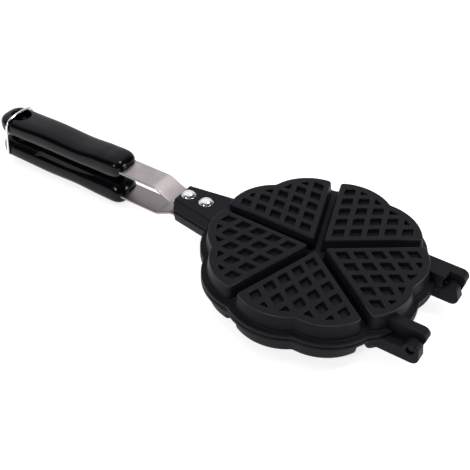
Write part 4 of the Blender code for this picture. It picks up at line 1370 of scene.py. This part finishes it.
class PlateLook(bpy.types.PropertyGroup):
    """Sizes and finish of the cast plates."""

    edge_round: bpy.props.FloatProperty(
        name="Edge rounding", description="Rounding along the top of each heart", default=0.0012,
        min=0.0002, max=0.0020, precision=4, unit="LENGTH")
    foot_fillet: bpy.props.FloatProperty(
        name="Foot fillet", description="Fillet where a heart's wall meets the groove", default=0.0009,
        min=0.0002, max=0.0012, precision=4, unit="LENGTH")
    flange_round: bpy.props.FloatProperty(
        name="Flange rounding", description="Rounding along the flange's outer edge", default=0.0006,
        min=0.0002, max=0.0012, precision=4, unit="LENGTH")
    lug_round: bpy.props.FloatProperty(
        name="Lug rounding", description="Rounding along the edges of the hinge lugs", default=0.0006,
        min=0.0002, max=0.0012, precision=4, unit="LENGTH")
    parting_round: bpy.props.FloatProperty(
        name="Parting rounding", description="Rounding of the flange where the two plates meet",
        default=0.0009, min=0.0002, max=0.0014, precision=4, unit="LENGTH")
    pit_round: bpy.props.FloatProperty(
        name="Pit rounding", description="Rounding round the mouth and floor of a pit", default=0.0004,
        min=0.0001, max=0.0008, precision=4, unit="LENGTH")
    pit_corner: bpy.props.FloatProperty(
        name="Pit corners", description="Radius of a pit's upright corners", default=0.0008,
        min=0.0002, max=0.0015, precision=4, unit="LENGTH")
    coating_colour: bpy.props.FloatVectorProperty(
        name="Coating colour", description="Colour of the non-stick coating",
        default=(0.0080, 0.0075, 0.0108), min=0.0, max=1.0, subtype="COLOR")
    # Colour along the hearts' outer top edges: partly rubbed wear, partly a painted highlight
    wear_and_painted_highlight_colour: bpy.props.FloatVectorProperty(
        name="Wear and painted highlight colour", description="Colour of the coating along its outer top edges, partly rubbed wear and partly a painted highlight",
        default=(0.045, 0.044, 0.050), min=0.0, max=1.0, subtype="COLOR")
    coating_roughness: bpy.props.FloatProperty(
        name="Coating roughness", description="How dull the coating is", default=0.40,
        min=0.0, max=1.0, subtype="FACTOR")
    pebble_height: bpy.props.FloatProperty(
        name="Pebble height", description="Depth of the coating's fine pebble", default=0.00004,
        min=0.0, max=0.0002, precision=5, unit="LENGTH")


class HandleLook(bpy.types.PropertyGroup):
    """Sizes and finish of the handles."""

    hole_round: bpy.props.FloatProperty(
        name="Hole rounding", description="Rounding round the hanging hole", default=0.0019,
        min=0.0004, max=0.0030, precision=4, unit="LENGTH")
    handle_colour: bpy.props.FloatVectorProperty(
        name="Handle colour", description="Colour of the moulded handles", default=(0.0020, 0.0018, 0.0030),
        min=0.0, max=1.0, subtype="COLOR")
    handle_roughness: bpy.props.FloatProperty(
        name="Handle roughness", description="How dull the handles are", default=0.12,
        min=0.0, max=1.0, subtype="FACTOR")


class SteelLook(bpy.types.PropertyGroup):
    """Sizes and finish of the steel pieces."""

    strap_edge: bpy.props.FloatProperty(
        name="Strap edge", description="Rounding along the strap's edges", default=0.0006,
        min=0.0001, max=0.0009, precision=4, unit="LENGTH")
    strap_colour: bpy.props.FloatVectorProperty(
        name="Strap colour", description="Colour of the rolled steel", default=(0.382, 0.345, 0.341),
        min=0.0, max=1.0, subtype="COLOR")
    strap_roughness: bpy.props.FloatProperty(
        name="Strap roughness", description="How dull the straps are", default=0.26,
        min=0.0, max=1.0, subtype="FACTOR")
    bright_colour: bpy.props.FloatVectorProperty(
        name="Bright steel colour", description="Colour of rivets, screws and bail",
        default=(0.82, 0.82, 0.83), min=0.0, max=1.0, subtype="COLOR")
    bright_roughness: bpy.props.FloatProperty(
        name="Bright steel roughness", description="How dull rivets, screws and bail are", default=0.10,
        min=0.0, max=1.0, subtype="FACTOR")
    pin_colour: bpy.props.FloatVectorProperty(
        name="Pin colour", description="Colour of the dark hinge pins", default=(0.018, 0.018, 0.020),
        min=0.0, max=1.0, subtype="COLOR")
    pin_roughness: bpy.props.FloatProperty(
        name="Pin roughness", description="How dull the hinge pins are", default=0.38,
        min=0.0, max=1.0, subtype="FACTOR")


class StageLook(bpy.types.PropertyGroup):
    """Floor and lights."""

    floor_colour: bpy.props.FloatVectorProperty(
        name="Floor colour", description="Colour of the floor", default=(0.62, 0.62, 0.62),
        min=0.0, max=1.0, subtype="COLOR")
    floor_side: bpy.props.FloatProperty(
        name="Floor side", description="Length of the floor's sides", default=6.0, min=1.0, max=20.0,
        unit="LENGTH")
    floor_glow: bpy.props.FloatProperty(
        name="Floor glow", description="Light of the lit table under the pan", default=0.74, min=0.0, max=2.0,
        subtype="FACTOR")
    key_light: bpy.props.FloatProperty(
        name="Key light", description="Power of the soft light high on the hinge side", default=6.0, min=0.0,
        max=500.0, unit="POWER")
    side_light: bpy.props.FloatProperty(
        name="Side light", description="Power of each of the two small side lights", default=5.0, min=0.0,
        max=200.0, unit="POWER")
    wall_strength: bpy.props.FloatProperty(
        name="Wall strength", description="Brightness of the pale wall behind the handles", default=1.15,
        min=0.0, max=10.0, subtype="FACTOR")
    room_strength: bpy.props.FloatProperty(
        name="Room strength", description="Brightness of the room in front of the pan", default=0.05, min=0.0,
        max=10.0, subtype="FACTOR")


# Operators

class PAN_OT_plates(bpy.types.Operator):
    """Makes both cast plates"""

    bl_idname = "waffle_pan.plates"
    bl_label = "Plates"

    def execute(self, context):
        look = context.scene.pan_plates
        add_to_halves(plate_mesh(look), coating_finish(look), "nonstick", ("casting", "plate", (0, 0, 0)))
        return {"FINISHED"}


class PAN_OT_straps(bpy.types.Operator):
    """Makes both steel straps"""

    bl_idname = "waffle_pan.straps"
    bl_label = "Straps"

    def execute(self, context):
        look = context.scene.pan_steel
        add_to_halves(strap_mesh(look), strap_finish(look), "strap_steel", ("strip", "strap", (0, 0, 0)))
        return {"FINISHED"}


class PAN_OT_rivets(bpy.types.Operator):
    """Makes the four domed rivets"""

    bl_idname = "waffle_pan.rivets"
    bl_label = "Rivets"

    def execute(self, context):
        mesh, material = rivet_mesh(), bright_finish(context.scene.pan_steel)
        front = ("front_rivet_dome", "front_rivet", (FRONT_RIVET_X, 0, TONGUE_HEIGHT))
        rear = ("rear_rivet_dome", "rear_rivet", (REAR_RIVET_X, 0, TONGUE_HEIGHT))
        add_to_halves(mesh, material, "bright_steel", front, rear)
        return {"FINISHED"}


class PAN_OT_screws(bpy.types.Operator):
    """Makes the four handle screws"""

    bl_idname = "waffle_pan.screws"
    bl_label = "Screws"

    def execute(self, context):
        mesh, material = screw_mesh(), bright_finish(context.scene.pan_steel)
        front = ("front_screw_cross", "front_screw", (FRONT_SCREW_X, 0, 0))
        rear = ("rear_screw_cross", "rear_screw", (REAR_SCREW_X, 0, 0))
        add_to_halves(mesh, material, "strap_steel", front, rear)
        return {"FINISHED"}


class PAN_OT_pins(bpy.types.Operator):
    """Makes the two hinge pins"""

    bl_idname = "waffle_pan.pins"
    bl_label = "Hinge pins"

    def execute(self, context):
        mesh, material = pin_mesh(), dark_finish(context.scene.pan_steel)
        for node in ("hinge_pin_near", "hinge_pin_far"):
            low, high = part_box(node)
            seat = Matrix.Translation((low + high) / 2) @ Matrix.Rotation(math.pi / 2, 4, "X")
            add_piece(node + "_turned", mesh, material, "lower_half", [node], seat)
        return {"FINISHED"}


class PAN_OT_handles(bpy.types.Operator):
    """Makes both moulded handles"""

    bl_idname = "waffle_pan.handles"
    bl_label = "Handles"

    def execute(self, context):
        look = context.scene.pan_handles
        grip = ("grip", "handle", (0, 0, 0))
        add_to_halves(handle_mesh(look), moulding_finish(look), "handle_moulding", grip)
        return {"FINISHED"}


class PAN_OT_bail(bpy.types.Operator):
    """Makes the wire bail"""

    bl_idname = "waffle_pan.bail"
    bl_label = "Bail"

    def execute(self, context):
        mesh, material = bail_mesh(), bright_finish(context.scene.pan_steel)
        pivot = Matrix.Translation(PAN_MIDDLE + Vector((BAIL_X, 0, BAIL_PIVOT_COVER - tail_top())))
        add_piece("bail_wire", mesh, material, "latch_bail", ["latch_bail"], pivot)
        return {"FINISHED"}


class PAN_OT_stage(bpy.types.Operator):
    """Makes the floor, the lights and the camera"""

    bl_idname = "waffle_pan.stage"
    bl_label = "Stage"

    def execute(self, context):
        look = context.scene.pan_stage
        add_floor(look)
        for name, power, *place in LIGHTS:
            add_area_light(name, getattr(look, power), *place)
        add_room(look)
        add_camera()
        context.scene.view_settings.view_transform = "Standard"
        return {"FINISHED"}


STEPS = (PAN_OT_plates, PAN_OT_straps, PAN_OT_rivets, PAN_OT_screws, PAN_OT_pins, PAN_OT_handles, PAN_OT_bail,
         PAN_OT_stage)
GROUPS = {"pan_plates": PlateLook, "pan_handles": HandleLook, "pan_steel": SteelLook, "pan_stage": StageLook}


class PAN_PT_sidebar(bpy.types.Panel):
    """Lists the pan's steps and what they can change"""

    bl_idname = "PAN_PT_sidebar"
    bl_label = "Waffle Pan"
    bl_space_type = "VIEW_3D"
    bl_region_type = "UI"
    bl_category = "Waffle Pan"

    def draw(self, context):
        layout = self.layout
        for step in STEPS:
            layout.operator(step.bl_idname)
        for name, group in GROUPS.items():
            look = getattr(context.scene, name)
            box = layout.box()
            for key in group.__annotations__:
                box.prop(look, key)


def register():
    """Adds the classes and the properties to Blender."""
    for group in (*GROUPS.values(), *STEPS, PAN_PT_sidebar):
        bpy.utils.register_class(group)
    for name, group in GROUPS.items():
        setattr(bpy.types.Scene, name, bpy.props.PointerProperty(type=group))


def unregister():
    """Takes them out again."""
    for name in GROUPS:
        delattr(bpy.types.Scene, name)
    for group in reversed((*GROUPS.values(), *STEPS, PAN_PT_sidebar)):
        bpy.utils.unregister_class(group)


def main():
    """Builds the whole scene in order."""
    register()
    bpy.ops.waffle_pan.plates()
    bpy.ops.waffle_pan.straps()
    bpy.ops.waffle_pan.rivets()
    bpy.ops.waffle_pan.screws()
    bpy.ops.waffle_pan.pins()
    bpy.ops.waffle_pan.handles()
    bpy.ops.waffle_pan.bail()
    bpy.ops.waffle_pan.stage()


if __name__ == "__main__":
    main()
